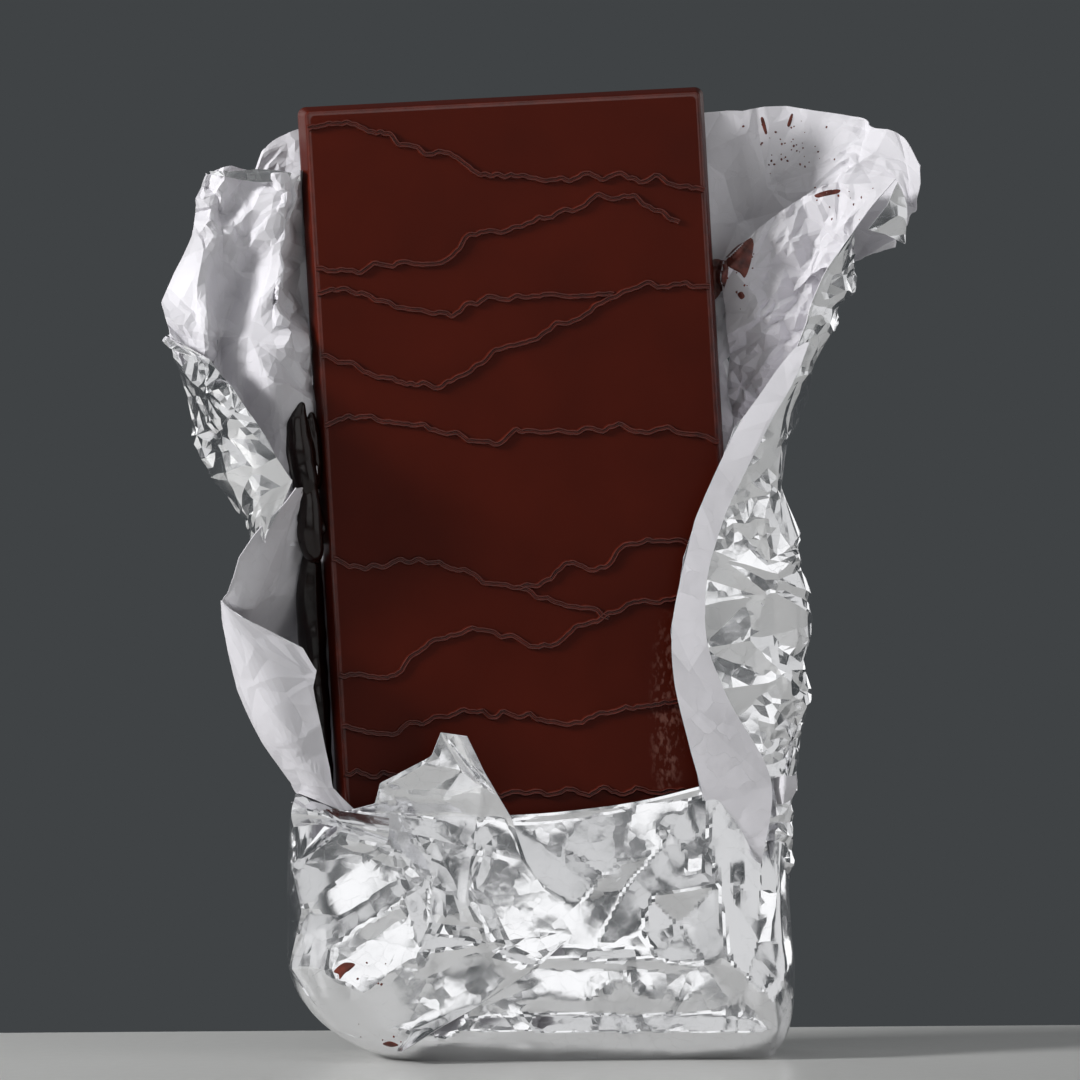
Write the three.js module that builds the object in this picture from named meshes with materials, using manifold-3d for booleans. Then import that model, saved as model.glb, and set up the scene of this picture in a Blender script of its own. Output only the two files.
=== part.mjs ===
// A dark chocolate bar standing on its short end in its opened, crumpled foil wrapper.
// Millimetres, +Z up. The moulded face of the bar looks along -Y.
// The origin is on the wrapper's flat base, under the front of the bar.
import * as THREE from "three";
import { mergeVertices } from "three/addons/utils/BufferGeometryUtils.js";
import Module from "manifold-3d";

const wasm = await Module();
wasm.setup();

const degree = Math.PI / 180;
const V = (x, y, z) => new THREE.Vector3(x, y, z);

// Bar: the moulded tablet, whose top leans towards -X
const barWidth = 70;
const barLength = 156;
const barThickness = 5.2;
const barLean = 3.3 * degree;
const barCentre = V(-2.15, 3, 86.4);
const barDraft = 1.0; // the moulded face is this much inside the back on each side
const barEdge = 0.6; // rounding of the long edges
const barCorner = 1.6; // radius of the four corners, seen from the front
const barCornerSteps = 4;

// Ridges: raised seams that cross the moulded face, each with a shallow groove along its crown
const ridgeHalfWidth = 0.75;
const ridgeHeight = 0.38;
const ridgeGroove = 0.2;
const ridgeRoot = 0.5; // how deep a ridge is set into the face
const ridgeReach = 33.2; // how far the ridges run to each side of the middle
const ridgeStep = 3; // length of one straight stretch of a ridge
const ridgeWobble = 0.45;

// Melted drips on the left side of the bar
const dripCentreY = 2.9;
const dripDepth = 2.1;

// Foil: paper-backed foil, thicker here than the real sheet so that it is a sound solid
const foilThickness = 0.6;
const foilClearance = 0.4; // free space between foil and chocolate
const floorHeight = foilThickness / 2; // middle of the sheet where it lies on the table
const crumpleDepth = 1.05;
const crumpleWaves = 6;
const goldenAngle = 2.39996;

// A smooth curve through points, as a function of 0 to 1
function through(points, closed = false) {
  const curve = new THREE.CatmullRomCurve3(points, closed, "catmullrom", 0.5);
  return (t) => curve.getPoint(t);
}

// A value that changes smoothly with height, from [height, value] pairs
function profile(pairs) {
  return (height) => {
    let i = 0;
    while (i < pairs.length - 2 && height > pairs[i + 1][0]) i++;
    const [z0, a] = pairs[i];
    const [z1, b] = pairs[i + 1];
    const t = THREE.MathUtils.clamp((height - z0) / (z1 - z0), 0, 1);
    return a + (b - a) * t;
  };
}

// A steady pseudo-random value from 0 to 1 for a whole number
function scatter(n) {
  const value = Math.sin(n * 12.9898 + 4.1) * 43758.5453;
  return value - Math.floor(value);
}

function solidFrom(geometry) {
  const bare = geometry.clone();
  bare.deleteAttribute("normal");
  bare.deleteAttribute("uv");
  const merged = mergeVertices(bare, 1e-4);
  const mesh = new wasm.Mesh({
    numProp: 3,
    vertProperties: new Float32Array(merged.attributes.position.array),
    triVerts: new Uint32Array(merged.index.array),
  });
  return new wasm.Manifold(mesh);
}

function geometryFrom(solid) {
  const mesh = solid.getMesh();
  const geometry = new THREE.BufferGeometry();
  geometry.setAttribute("position", new THREE.BufferAttribute(mesh.vertProperties, 3));
  geometry.setIndex(new THREE.BufferAttribute(mesh.triVerts, 1));
  geometry.computeVertexNormals();
  return geometry;
}

// The outer skin of a solid, without sealed pockets and loose scraps
function largest(solid) {
  return solid.decompose().reduce((most, body) => (body.volume() > most.volume() ? body : most));
}

// A closed surface from rings of points, capped at both ends
function loft(rings) {
  const around = rings[0].length;
  const points = rings.flat();
  const faces = [];
  for (let r = 0; r < rings.length - 1; r++) {
    for (let i = 0; i < around; i++) {
      const a = r * around + i;
      const b = r * around + ((i + 1) % around);
      faces.push(a, b, a + around, b, b + around, a + around);
    }
  }
  [0, rings.length - 1].forEach((r) => {
    const middle = rings[r].reduce((sum, p) => sum.add(p), V(0, 0, 0)).divideScalar(around);
    points.push(middle);
    for (let i = 0; i < around; i++) {
      const a = r * around + i;
      const b = r * around + ((i + 1) % around);
      faces.push(...(r === 0 ? [points.length - 1, b, a] : [points.length - 1, a, b]));
    }
  });
  return new THREE.BufferGeometry().setFromPoints(points).setIndex(faces);
}

// Outline of the tablet at a depth, drawn in by inset
function barOutline(inset, depth, grow) {
  const halfWidth = barWidth / 2 - inset + grow;
  const halfLength = barLength / 2 - inset + grow;
  const radius = Math.max(barCorner - inset * 0.5, 0.8);
  const outline = [];
  [[1, 1], [-1, 1], [-1, -1], [1, -1]].forEach(([sx, sz], corner) => {
    for (let i = 0; i <= barCornerSteps; i++) {
      const angle = (corner + i / barCornerSteps) * 90 * degree;
      const x = sx * (halfWidth - radius) + radius * Math.cos(angle);
      const z = sz * (halfLength - radius) + radius * Math.sin(angle);
      outline.push(V(x, depth, z));
    }
  });
  return outline;
}

function tablet(grow) {
  const half = barThickness / 2;
  const levels = [
    [barEdge * 0.4, half + grow],
    [0, half - barEdge * 0.4],
    [barDraft - 0.2, -half + barEdge],
    [barDraft + barEdge * 0.25, -half + barEdge * 0.3],
    [barDraft + barEdge, -half - grow],
  ];
  return solidFrom(loft(levels.map(([inset, depth]) => barOutline(inset, depth, grow))));
}

// Centre lines of the ridges, as [across, up] from the middle of the bar
const ridgeLines = [
  [[-ridgeReach, 74.5], [-25, 74.3], [-18, 70.8], [-9.5, 68.2], [-2.7, 64.4], [9.2, 62.8], [19.4, 63.4], [ridgeReach, 60]],
  [[-ridgeReach, 49.4], [-24, 50], [-11, 50.4], [-7, 54], [2, 55.7], [10.5, 57.5], [20, 59.9], [29, 54.3]],
  [[-ridgeReach, 45.9], [-28.7, 46.2], [-21, 43.3], [-12.7, 41.3], [-5.7, 43.1], [4.6, 43.4], [12.6, 43.4]],
  [[-ridgeReach, 35.2], [-28.6, 33.5], [-22.8, 30.5], [-13.5, 29.4], [-2.9, 34.5], [8.4, 38.4], [21.6, 43.7], [ridgeReach, 43.4]],
  [[-ridgeReach, 23.4], [-23.2, 23.8], [-12.3, 20.4], [-4.6, 19.5], [6.5, 19.9], [20.2, 19.5], [ridgeReach, 16.8]],
  [[-ridgeReach, 0.4], [-28, -1], [-17, -1.1], [-8.7, -4.4], [4.8, -8.6], [10.2, -10.8]],
  [[-1.4, -4.9], [2.4, -4.6], [6, -2.8], [11.9, -3.8], [16.4, -0.2], [22.4, 0.4], [ridgeReach, -1.8]],
  [[-ridgeReach, -19.6], [-25, -19.9], [-19.6, -15.7], [-9.2, -13], [2.6, -15.9], [18.4, -9.9], [ridgeReach, -12]],
  [[-ridgeReach, -28.7], [-25.6, -29.4], [-22, -28.3], [-10, -27], [3.5, -29.5], [19, -27.4], [ridgeReach, -28.6]],
  [[-ridgeReach, -36.2], [-24, -37], [-7.5, -41], [6, -41.6], [24.8, -42.6], [ridgeReach, -41.8]],
  [[-ridgeReach, -57], [-15, -61], [5, -58.5], [20, -62], [ridgeReach, -60]],
];

function ridge(line, number) {
  const centre = through(line.map(([x, z]) => V(x, 0, z)));
  const reach = line[line.length - 1][0] - line[0][0];
  const steps = Math.round(reach / ridgeStep);
  const face = -barThickness / 2;
  const section = [
    [-ridgeHalfWidth, face + ridgeRoot],
    [-ridgeHalfWidth * 0.6, face - ridgeHeight],
    [0, face - ridgeHeight + ridgeGroove],
    [ridgeHalfWidth * 0.6, face - ridgeHeight],
    [ridgeHalfWidth, face + ridgeRoot],
  ];
  const rings = [];
  for (let i = 0; i <= steps; i++) {
    const t = i / steps;
    const here = centre(t);
    const ahead = centre(Math.min(t + 0.01, 1)).sub(centre(Math.max(t - 0.01, 0))).normalize();
    const wobble = (scatter(number * 97 + i) - 0.5) * 2 * ridgeWobble * Math.sin(Math.PI * t);
    const stretch = 1 / Math.max(ahead.x, 0.7);
    rings.push(section.map(([off, depth]) => V(here.x, depth, here.z + off * stretch + wobble)));
  }
  return solidFrom(loft(rings));
}

// Melted drips, as height of the top, length, radius and place across
const drips = [
  { top: 25, length: 15.5, radius: 2.7, across: -36.2 },
  { top: 11.5, length: 13.5, radius: 2.3, across: -35.4 },
];

function drip({ top, length, radius, across }, grow) {
  const steps = 9;
  const outline = [];
  for (let i = 0; i <= steps; i++) {
    const t = i / steps;
    const swell = Math.pow(Math.sin(Math.PI * Math.pow(t, 0.62)), 0.75);
    const reach = i === 0 || i === steps ? 0 : (radius + grow) * swell;
    outline.push(new THREE.Vector2(reach, -length * (1 - t) - grow + 2 * grow * t));
  }
  const teardrop = new THREE.LatheGeometry(outline.reverse(), 12);
  teardrop.rotateX(Math.PI / 2);
  teardrop.scale(1, (dripDepth + grow) / (radius + grow), 1);
  const solid = solidFrom(teardrop);
  const outward = solid.volume() < 0 ? solidFrom(turned(teardrop)) : solid;
  return outward.translate([across, dripCentreY - barCentre.y, top]);
}

function turned(geometry) {
  const index = geometry.index.array.slice();
  for (let i = 0; i < index.length; i += 3) [index[i], index[i + 1]] = [index[i + 1], index[i]];
  return geometry.clone().setIndex(new THREE.BufferAttribute(index, 1));
}

// The whole piece of chocolate, in its own upright frame
function chocolate(grow) {
  let solid = tablet(grow);
  if (grow === 0) ridgeLines.forEach((line, i) => (solid = solid.add(ridge(line, i + 1))));
  drips.forEach((d) => (solid = solid.add(drip(d, grow))));
  return solid;
}

// Foil: folds a sheet into flat facets, by triangle waves that run in different directions
function crumple(point) {
  const warpX = point.x + 2.5 * Math.sin(point.z / 9);
  const warpZ = point.z + 2.5 * Math.sin(point.x / 8 + 1);
  let sum = 0;
  for (let i = 0; i < crumpleWaves; i++) {
    const angle = i * goldenAngle;
    const wavelength = 15 + 3.1 * i;
    const along = warpX * Math.cos(angle) + warpZ * Math.sin(angle) + point.y * 0.45;
    const phase = along / wavelength + i * 0.37;
    sum += 4 * Math.abs(phase - Math.floor(phase) - 0.5) - 1;
  }
  return sum / Math.sqrt(crumpleWaves);
}

// Moves a point of the foil out of the chocolate's own space
function clearOfBar(point) {
  const sin = Math.sin(barLean);
  const cos = Math.cos(barLean);
  const from = point.clone().sub(barCentre);
  const local = V(from.x * cos + from.z * sin, from.y, -from.x * sin + from.z * cos);
  const gap = foilClearance + foilThickness / 2 + 0.15;
  const reach = V(barWidth / 2 + gap, barThickness / 2 + gap + ridgeHeight, barLength / 2 + gap);
  const inside = V(reach.x - Math.abs(local.x), reach.y - Math.abs(local.y), reach.z - Math.abs(local.z));
  if (Math.min(inside.x, inside.y, inside.z) <= 0) return point;
  if (inside.y <= inside.x * 1.5) {
    point.y = barCentre.y + Math.sign(local.y || 1) * reach.y;
  } else {
    const push = Math.sign(local.x) * inside.x;
    point.x += push * cos;
    point.z += push * sin;
  }
  return point;
}

function gridNormals(grid, closed) {
  const rows = grid.length;
  const columns = grid[0].length;
  return grid.map((row, v) =>
    row.map((_, s) => {
      const left = closed ? (s - 1 + columns) % columns : Math.max(s - 1, 0);
      const right = closed ? (s + 1) % columns : Math.min(s + 1, columns - 1);
      const across = row[right].clone().sub(row[left]);
      const up = grid[Math.min(v + 1, rows - 1)][s].clone().sub(grid[Math.max(v - 1, 0)][s]);
      return across.cross(up).normalize();
    }),
  );
}

// The middle surface of a sheet: smooth through its fold lines, then crumpled
function sheetGrid({ folds, across, up, closed = false, calm = () => 1 }) {
  const lines = folds.map((fold) => through(fold));
  const columns = closed ? across : across + 1;
  const grid = [];
  for (let v = 0; v <= up; v++) {
    const row = through(lines.map((line) => line(v / up)), closed);
    grid.push(Array.from({ length: columns }, (_, s) => row(s / across)));
  }
  const normals = gridNormals(grid, closed);
  grid.forEach((row, v) =>
    row.forEach((point, s) => {
      point.addScaledVector(normals[v][s], crumpleDepth * crumple(point) * calm(point, s / across, v / up));
      clearOfBar(point);
    }),
  );
  return grid;
}

// A closed solid of foil around a grid of points
function thicken(grid, closed = false) {
  const normals = gridNormals(grid, closed);
  const rows = grid.length;
  const columns = grid[0].length;
  const points = [1, -1].flatMap((side) =>
    grid.flatMap((row, v) =>
      row.map((point, s) => {
        const moved = point.clone().addScaledVector(normals[v][s], (side * foilThickness) / 2);
        const onFloor = point.z < floorHeight + 0.01;
        moved.z = onFloor ? floorHeight - (side * foilThickness) / 2 : Math.max(moved.z, 0);
        return moved;
      }),
    ),
  );
  const at = (side, v, s) => side * rows * columns + v * columns + (s % columns);
  const faces = [];
  const quad = (a, b, c, d) => faces.push(a, b, c, a, c, d);
  const lastColumn = closed ? columns : columns - 1;
  for (let v = 0; v < rows - 1; v++) {
    for (let s = 0; s < lastColumn; s++) {
      quad(at(0, v, s), at(0, v, s + 1), at(0, v + 1, s + 1), at(0, v + 1, s));
      quad(at(1, v, s), at(1, v + 1, s), at(1, v + 1, s + 1), at(1, v, s + 1));
    }
  }
  for (let s = 0; s < lastColumn; s++) {
    quad(at(1, 0, s), at(1, 0, s + 1), at(0, 0, s + 1), at(0, 0, s));
    quad(at(0, rows - 1, s), at(0, rows - 1, s + 1), at(1, rows - 1, s + 1), at(1, rows - 1, s));
  }
  for (let v = 0; v < rows - 1 && !closed; v++) {
    quad(at(0, v, 0), at(0, v + 1, 0), at(1, v + 1, 0), at(1, v, 0));
    quad(at(1, v, columns - 1), at(1, v + 1, columns - 1), at(0, v + 1, columns - 1), at(0, v, columns - 1));
  }
  return solidFrom(new THREE.BufferGeometry().setFromPoints(points).setIndex(faces));
}

// Pouch: the closed lower end of the wrapper, by its reach to each side at each height
const pouchLeft = profile([[0, -27], [2, -31], [5, -35.5], [10, -41], [18, -44], [27, -43.4], [44, -43]]);
const pouchRight = profile([[0, 40.5], [5, 42.3], [17, 43.4], [27, 42.8], [44, 44]]);
const pouchFront = profile([[0, -7.5], [4, -10.3], [12, -11], [25, -8.6], [36, -4.6], [44, -2.2]]);
const pouchBack = profile([[0, 13], [4, 15.2], [12, 15.6], [25, 13], [36, 10.6], [44, 9.6]]);
const pouchHeights = [3, 8, 15, 24, 34, 44];
const pouchRim = profile([[-44, 43.5], [-30, 42], [-6, 40.6], [27, 45], [ridgeReach, 48.5], [44, 49]]);
const tuckTop = 5;

function pouchRing(left, right, front, back, height) {
  const middle = (front + back) / 2;
  const wrap = Math.min((right - left) / 8, 7);
  const lift = (x) => (height * pouchRim(x)) / pouchHeights[pouchHeights.length - 1];
  const ring = [
    [left, middle], [left + 1.6, front * 0.7 + middle * 0.3], [left + wrap, front],
    [left + (right - left) * 0.34, front], [left + (right - left) * 0.66, front], [right - wrap, front],
    [right - 1.6, front * 0.7 + middle * 0.3], [right, middle], [right - 1.6, back * 0.7 + middle * 0.3],
    [right - wrap, back], [left + (right - left) * 0.5, back], [left + wrap, back],
    [left + 1.6, back * 0.7 + middle * 0.3],
  ];
  return ring.map(([x, y]) => V(x, y, height > 1 ? lift(x) : height));
}

// Pouch rows from the tucked-in end under the bar, across the floor and up to the rim
function pouchGrid() {
  const mid = barCentre.y;
  const low = [
    pouchRing(-22, 35, mid - 1.5, mid + 1.5, tuckTop),
    pouchRing(-22, 35, mid - 1.7, mid + 1.7, 1.6),
    pouchRing(-23, 36, mid - 2.2, mid + 2.2, floorHeight),
    pouchRing(-25, 38.5, mid - 6.5, mid + 6.2, floorHeight),
    pouchRing(pouchLeft(0) + 0.6, pouchRight(0) - 0.6, pouchFront(0) + 1.2, pouchBack(0) - 1.2, floorHeight),
  ];
  low[0].forEach((p) => (p.z = tuckTop));
  low[1].forEach((p) => (p.z = 1.6));
  const high = pouchHeights.map((z) => pouchRing(pouchLeft(z), pouchRight(z), pouchFront(z), pouchBack(z), z));
  return low.concat(high);
}

function pouch() {
  const across = 46;
  const rings = pouchGrid();
  const grid = [];
  rings.slice(0, 5).forEach((ring) => grid.push(Array.from({ length: across }, (_, s) => through(ring, true)(s / across))));
  const walls = sheetGrid({
    folds: rings[0].map((_, i) => rings.slice(5).map((ring) => ring[i])),
    across,
    up: 11,
    closed: true,
    calm: (point) => THREE.MathUtils.smoothstep(point.z, 3, 9) * 0.9,
  });
  return thicken(grid.concat(walls), true);
}

// Fold lines of the opened sheets, each from the bottom up as [x, y, height]
const sheets = {
  backPanel: {
    across: 14,
    up: 16,
    folds: [
      [[-40, 9, 18], [-41, 9.5, 60], [-44, 10, 100], [-47, 10, 135], [-49.8, 9.5, 151]],
      [[-34, 7.8, 18], [-36, 7.8, 60], [-38, 7.8, 100], [-40, 7.8, 138], [-41.5, 8.4, 158.4]],
      [[0, 8.4, 18], [-1, 7.8, 60], [-3, 7.8, 100], [-5, 7.8, 138], [-7, 8.6, 160.5]],
      [[35, 7.8, 18], [34, 7.8, 60], [31, 7.8, 100], [29, 8.4, 138], [27.5, 9, 162.8]],
      [[40, 9, 18], [39.5, 9, 60], [37, 9, 100], [35, 11, 134], [34, 11.5, 163]],
    ],
  },
  rightFlare: {
    across: 13,
    up: 9,
    folds: [
      [[30, 8.8, 116], [29, 9.6, 140], [28.5, 10, 162.3]],
      [[36, 9.5, 122], [37, 12.5, 143], [36, 13, 163.2]],
      [[42, 8, 128], [45, 10.5, 146], [45, 11.5, 162.8]],
      [[47, 4, 133], [51, 6, 150], [55.8, 7, 161.2]],
      [[49, 2.5, 135], [53.5, 2.6, 150], [57.5, 3.6, 159.4]],
      [[55, -2, 137], [59.5, -2, 149], [62, -1, 158.2]],
      [[59.5, -6, 139], [63, -6, 144.5], [64.9, -4, 152.6]],
    ],
  },
  rightWing: {
    across: 12,
    up: 20,
    folds: [
      [
        [35.5, 8.6, 26], [36.5, 8.6, 46], [36, 8.6, 64], [35.5, 8.6, 78], [35, 8.4, 92],
        [34, 8.2, 106], [33, 8, 118], [32.5, 7.6, 127], [32, 7, 136],
      ],
      [
        [39, 7.8, 26], [40.6, 8, 46], [41, 8, 64], [40, 7.8, 78], [39.4, 7.4, 92], [38.8, 7, 106],
        [40, 6.4, 118], [41.5, 5.4, 130], [40.3, 3.6, 143.9],
      ],
      [
        [41, 5, 26], [44, 4.4, 46], [45.2, 4, 64], [44, 4, 78], [43, 3.6, 92], [42.8, 3, 107],
        [45.6, 2.6, 118.5], [51.6, 1.6, 131], [48.5, -0.6, 148.6],
      ],
      [
        [40.5, -2, 27], [43.2, -2.4, 46], [44.2, -2.5, 62], [43, -3, 77], [41.8, -3.5, 90],
        [41.6, -4.5, 107], [44.8, -4.6, 119], [51.6, -4, 133], [53.4, -4.4, 149.2],
      ],
      [
        [32, -3.4, 32], [27, -3.6, 46], [22.6, -4.6, 64], [22.3, -4.8, 77], [25.6, -5.2, 90],
        [32, -6.5, 106], [42, -7.6, 120], [48.2, -8.2, 135.5], [60.3, -9, 149.7],
      ],
    ],
  },
  rightHem: {
    across: 4,
    up: 17,
    folds: [
      [
        [32, -3.4, 32], [27, -3.6, 46], [22.6, -4.6, 64], [22.3, -4.8, 77], [25.6, -5.2, 90],
        [32, -6.5, 106], [38.2, -7.2, 115], [42.6, -7.7, 121],
      ],
      [
        [37, -3.6, 32], [38.5, -6.2, 47], [31, -6.8, 62], [27.2, -6.8, 75], [29.5, -7, 88],
        [36.5, -8.5, 105], [42.4, -9, 115], [44.8, -8.4, 122],
      ],
    ],
  },
  tipFold: {
    across: 3,
    up: 4,
    folds: [
      [[54.4, -8.6, 141.2], [57.5, -9.2, 145.5], [60.2, -9.6, 149.3]],
      [[60.9, -8.2, 138.6], [61.6, -8.4, 142.5], [61.8, -8.8, 146.2]],
    ],
  },
  leftWing: {
    across: 13,
    up: 14,
    folds: [
      [
        [-47.6, -2.5, 88], [-56.6, -3, 105.5], [-63.6, -4.5, 122], [-64.4, -3.5, 131],
        [-59.6, -2, 142], [-58, -1, 151],
      ],
      [
        [-47, 3, 88], [-54, 3.5, 104], [-58.5, 3.5, 118], [-58, 3.5, 130], [-54, 3.5, 141],
        [-54, 3, 151],
      ],
      [
        [-45.5, 8, 88], [-49, 9.5, 102], [-54, 11.5, 116], [-51.5, 12.5, 129], [-48.5, 11.5, 140],
        [-48, 8, 151],
      ],
      [
        [-43, 9, 88], [-45, 8.2, 101], [-47, 8, 115], [-47, 8, 128], [-45.5, 8.2, 140],
        [-43.5, 5, 151],
      ],
      [
        [-36, 9, 88], [-37, 9, 101], [-37.5, 9, 115], [-38, 9, 128], [-38.5, 9, 140],
        [-38.6, 6.8, 151.5],
      ],
    ],
  },
  dogEar: {
    across: 6,
    up: 9,
    folds: [
      [
        [-48.6, -4, 87.8], [-52.4, -5.4, 93], [-56.9, -6, 101], [-59.7, -6.4, 106],
        [-60, -6.4, 112.7], [-62.7, -6, 118.8], [-64.6, -5, 122.4],
      ],
      [
        [-48.4, -8, 88], [-49, -11, 95], [-51.6, -11.6, 102.6], [-54, -11.6, 107.6],
        [-55.4, -10.8, 112.6], [-59, -8.6, 118.6], [-64.4, -6, 122.2],
      ],
      [
        [-48.2, -9, 88.2], [-43.4, -12.4, 97.9], [-45.6, -12.6, 102.6], [-48.8, -12, 107.9],
        [-52.2, -10.6, 113.2], [-57.2, -8.6, 118.8], [-64.2, -6.2, 122],
      ],
    ],
  },
  leftEar: {
    across: 10,
    up: 13,
    folds: [
      [
        [-40.5, 1, 34], [-43.6, -1.4, 46], [-47.3, -4, 55], [-52.3, -6, 63.5], [-55, -9, 76],
        [-49.4, -11, 88], [-42.6, -10, 97.4],
      ],
      [
        [-39.5, -2, 34], [-41, -2.6, 46], [-43, -2.2, 55], [-46.5, 0.4, 63], [-48.5, 6.6, 75],
        [-46, 7.4, 87], [-42.3, 2, 96.8],
      ],
      [
        [-37, -2.4, 34], [-37, -3.8, 46], [-37.6, -4.4, 55], [-39.6, -4.4, 63], [-41.5, 6.5, 74],
        [-41.4, 9, 86], [-41.2, 7, 96.2],
      ],
      [
        [-37, 8.6, 34], [-38, 8.4, 46], [-38.2, 8.4, 55], [-38.6, 8.6, 63], [-38.8, 9.6, 74],
        [-39, 10, 86], [-39.4, 9.6, 96],
      ],
    ],
  },
};

// End flap: the folded end that lies over the left half of the pouch, as its left and right edges
const flapLeft = [
  [-26.5, 2], [-35.9, 5.7], [-40.6, 11.4], [-43.6, 16], [-41.5, 25.4], [-43, 33],
  [-36, 41.5], [-29, 43.5], [-28, 47], [-18.1, 52.2], [-17.6, 55.5],
];
const flapRight = [
  [-25, 2.2], [-19, 6], [-11.9, 9.9], [-1.2, 17], [3.9, 21.7], [0.6, 27],
  [-3.6, 33.9], [-5.9, 41], [-8.3, 45], [-10.6, 48.9], [-13.4, 55.3],
];
const flapLift = 0.5; // space between the flap and the pouch's wall at the bottom
const flapRise = 0.27; // how much the space grows from one point of the edges to the next
const flapBulge = 0.9;

function flapFolds() {
  const line = (points, bulge) =>
    points.map(([x, z], i) => V(x, pouchFront(z) - flapLift - flapRise * i - bulge + leftTurn(x, z), z));
  const middle = flapLeft.map(([x, z], i) => [(x + flapRight[i][0]) / 2, (z + flapRight[i][1]) / 2]);
  return [line(flapLeft, 0), line(middle, flapBulge), line(flapRight, 0)];
}

// How far the pouch wall has already turned back at its left side
function leftTurn(x, z) {
  const reach = THREE.MathUtils.clamp((pouchLeft(z) + 7 - x) / 7, 0, 1);
  return 7 * reach * reach;
}

function wrapper() {
  let solid = pouch();
  Object.values(sheets).forEach(({ folds, across, up }) => {
    const lines = folds.map((fold) => fold.map(([x, y, z]) => V(x, y, z)));
    solid = solid.add(thicken(sheetGrid({ folds: lines, across, up })));
  });
  const flap = { folds: flapFolds(), across: 12, up: 14, calm: (p) => 0.6 * THREE.MathUtils.smoothstep(p.z, 3, 9) };
  solid = solid.add(thicken(sheetGrid(flap)));
  const room = chocolate(foilClearance).rotate([0, -barLean / degree, 0]).translate(barCentre.toArray());
  solid = largest(solid.subtract(room).simplify(0.17));
  return largest(solidFrom(geometryFrom(solid)));
}

function material(color, roughness, metalness) {
  return new THREE.MeshStandardMaterial({ color, roughness, metalness });
}

const part = new THREE.Group();

const bar = new THREE.Mesh(geometryFrom(chocolate(0).simplify(0.02)), material(0x3a1710, 0.35, 0));
bar.name = "chocolate_bar";
bar.position.copy(barCentre);
bar.rotation.y = -barLean;
part.add(bar);

const foil = new THREE.Mesh(geometryFrom(wrapper()), material(0xc9c9cc, 0.25, 1));
foil.name = "foil_wrapper";
part.add(foil);

export default part;
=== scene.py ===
"""A dark chocolate bar standing in its opened, crumpled foil wrapper, laid out as a Blender add-on."""

import math
import random

import bmesh
import bpy
import numpy as np
from mathutils import Matrix, Vector, noise
from mathutils.bvhtree import BVHTree
from mathutils.geometry import delaunay_2d_cdt


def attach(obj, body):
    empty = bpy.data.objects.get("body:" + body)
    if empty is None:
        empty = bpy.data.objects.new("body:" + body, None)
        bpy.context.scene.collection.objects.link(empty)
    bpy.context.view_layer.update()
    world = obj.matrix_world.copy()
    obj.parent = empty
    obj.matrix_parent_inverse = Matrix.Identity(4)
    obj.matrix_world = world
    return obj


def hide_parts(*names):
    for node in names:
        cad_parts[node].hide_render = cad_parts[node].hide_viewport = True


bl_info = {
    "name": "Chocolate bar in foil",
    "version": (1, 0, 0),
    "blender": (4, 5, 0),
    "location": "View3D > Sidebar > Chocolate",
    "description": "Builds a moulded chocolate bar and its crumpled foil wrapper",
    "category": "Add Mesh",
}

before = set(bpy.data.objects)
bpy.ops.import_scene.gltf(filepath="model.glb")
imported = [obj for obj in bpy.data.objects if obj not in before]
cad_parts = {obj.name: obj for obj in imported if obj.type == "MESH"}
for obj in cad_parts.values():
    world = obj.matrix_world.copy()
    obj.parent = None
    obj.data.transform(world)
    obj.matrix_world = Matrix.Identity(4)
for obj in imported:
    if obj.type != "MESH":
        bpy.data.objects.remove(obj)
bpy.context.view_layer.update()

TAU = 2 * math.pi
GOLDEN_ANGLE = math.pi * (3 - math.sqrt(5))
MM = 0.001
CORNER_STEPS = 10  # faces round each corner of the tablet

# Places and sizes in millimetres
BAR_CENTRE = np.array((-2.15, 3.0, 86.4))
BAR_CORNER = 1.5  # radius of the tablet's corners
SCUFF_CENTRE = (21.6, 0.4, 58.0)  # middle of the rubbed patch on the bar's face
SCUFF_SIZE = (3.4, 6.0, 19.0)
FOIL_GAP = 0.35  # least distance from the foil's middle to the bar
PACKETS = (30.0, 14.0, 5.5)  # widths that the large, middle and small folds press the foil down to
PATCH_SIZE = 13.0  # spacing of the patches where the small folds are
JAG_LENGTH = 8.0  # length of the straight runs along a torn edge
FLAP_LENGTH, FLAP_WIDTH = 70, 42
SMEAR_STEP = 0.3  # spacing of a smear's points
SPECK_SIZE = 0.26  # radius of the largest speck

# Which side of a sheet's grid is bright: towards the viewer, or away
BRIGHT_FRONT, BRIGHT_BACK = 1, -1

# The camera and the table, in metres where the name says no other unit
LENS_MM, SENSOR_MM = 195, 36
EYE_HEIGHT = 0.0882
EYE_SHIFT = -0.0003
TABLE_REACH = 0.9  # from the middle to the near edge and to each side
TABLE_BEHIND = 0.055  # from the middle to the far edge
LAMPS_AIM = Vector((0, 0, 0.085))


class BarSettings(bpy.types.PropertyGroup):
    width: bpy.props.FloatProperty(
        name="Width", description="Across the back of the bar, mm", default=70.0)
    length: bpy.props.FloatProperty(
        name="Length", description="Along the bar, mm", default=156.0)
    thickness: bpy.props.FloatProperty(
        name="Thickness", description="Back to face, mm", default=5.2)
    lean: bpy.props.FloatProperty(
        name="Lean", description="Turn of the bar towards its left", subtype="ANGLE",
        default=math.radians(3.3))
    draft: bpy.props.FloatProperty(
        name="Draft", description="Inset of the face on each side, mm", default=1.0)
    ridge_width: bpy.props.FloatProperty(
        name="Ridge width", description="Across one raised seam, mm", default=1.4)
    ridge_height: bpy.props.FloatProperty(
        name="Ridge height", description="Height of a seam, mm", default=0.85)
    colour: bpy.props.StringProperty(
        name="Colour", description="Dark chocolate, sRGB hex", default="4B1509")


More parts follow.
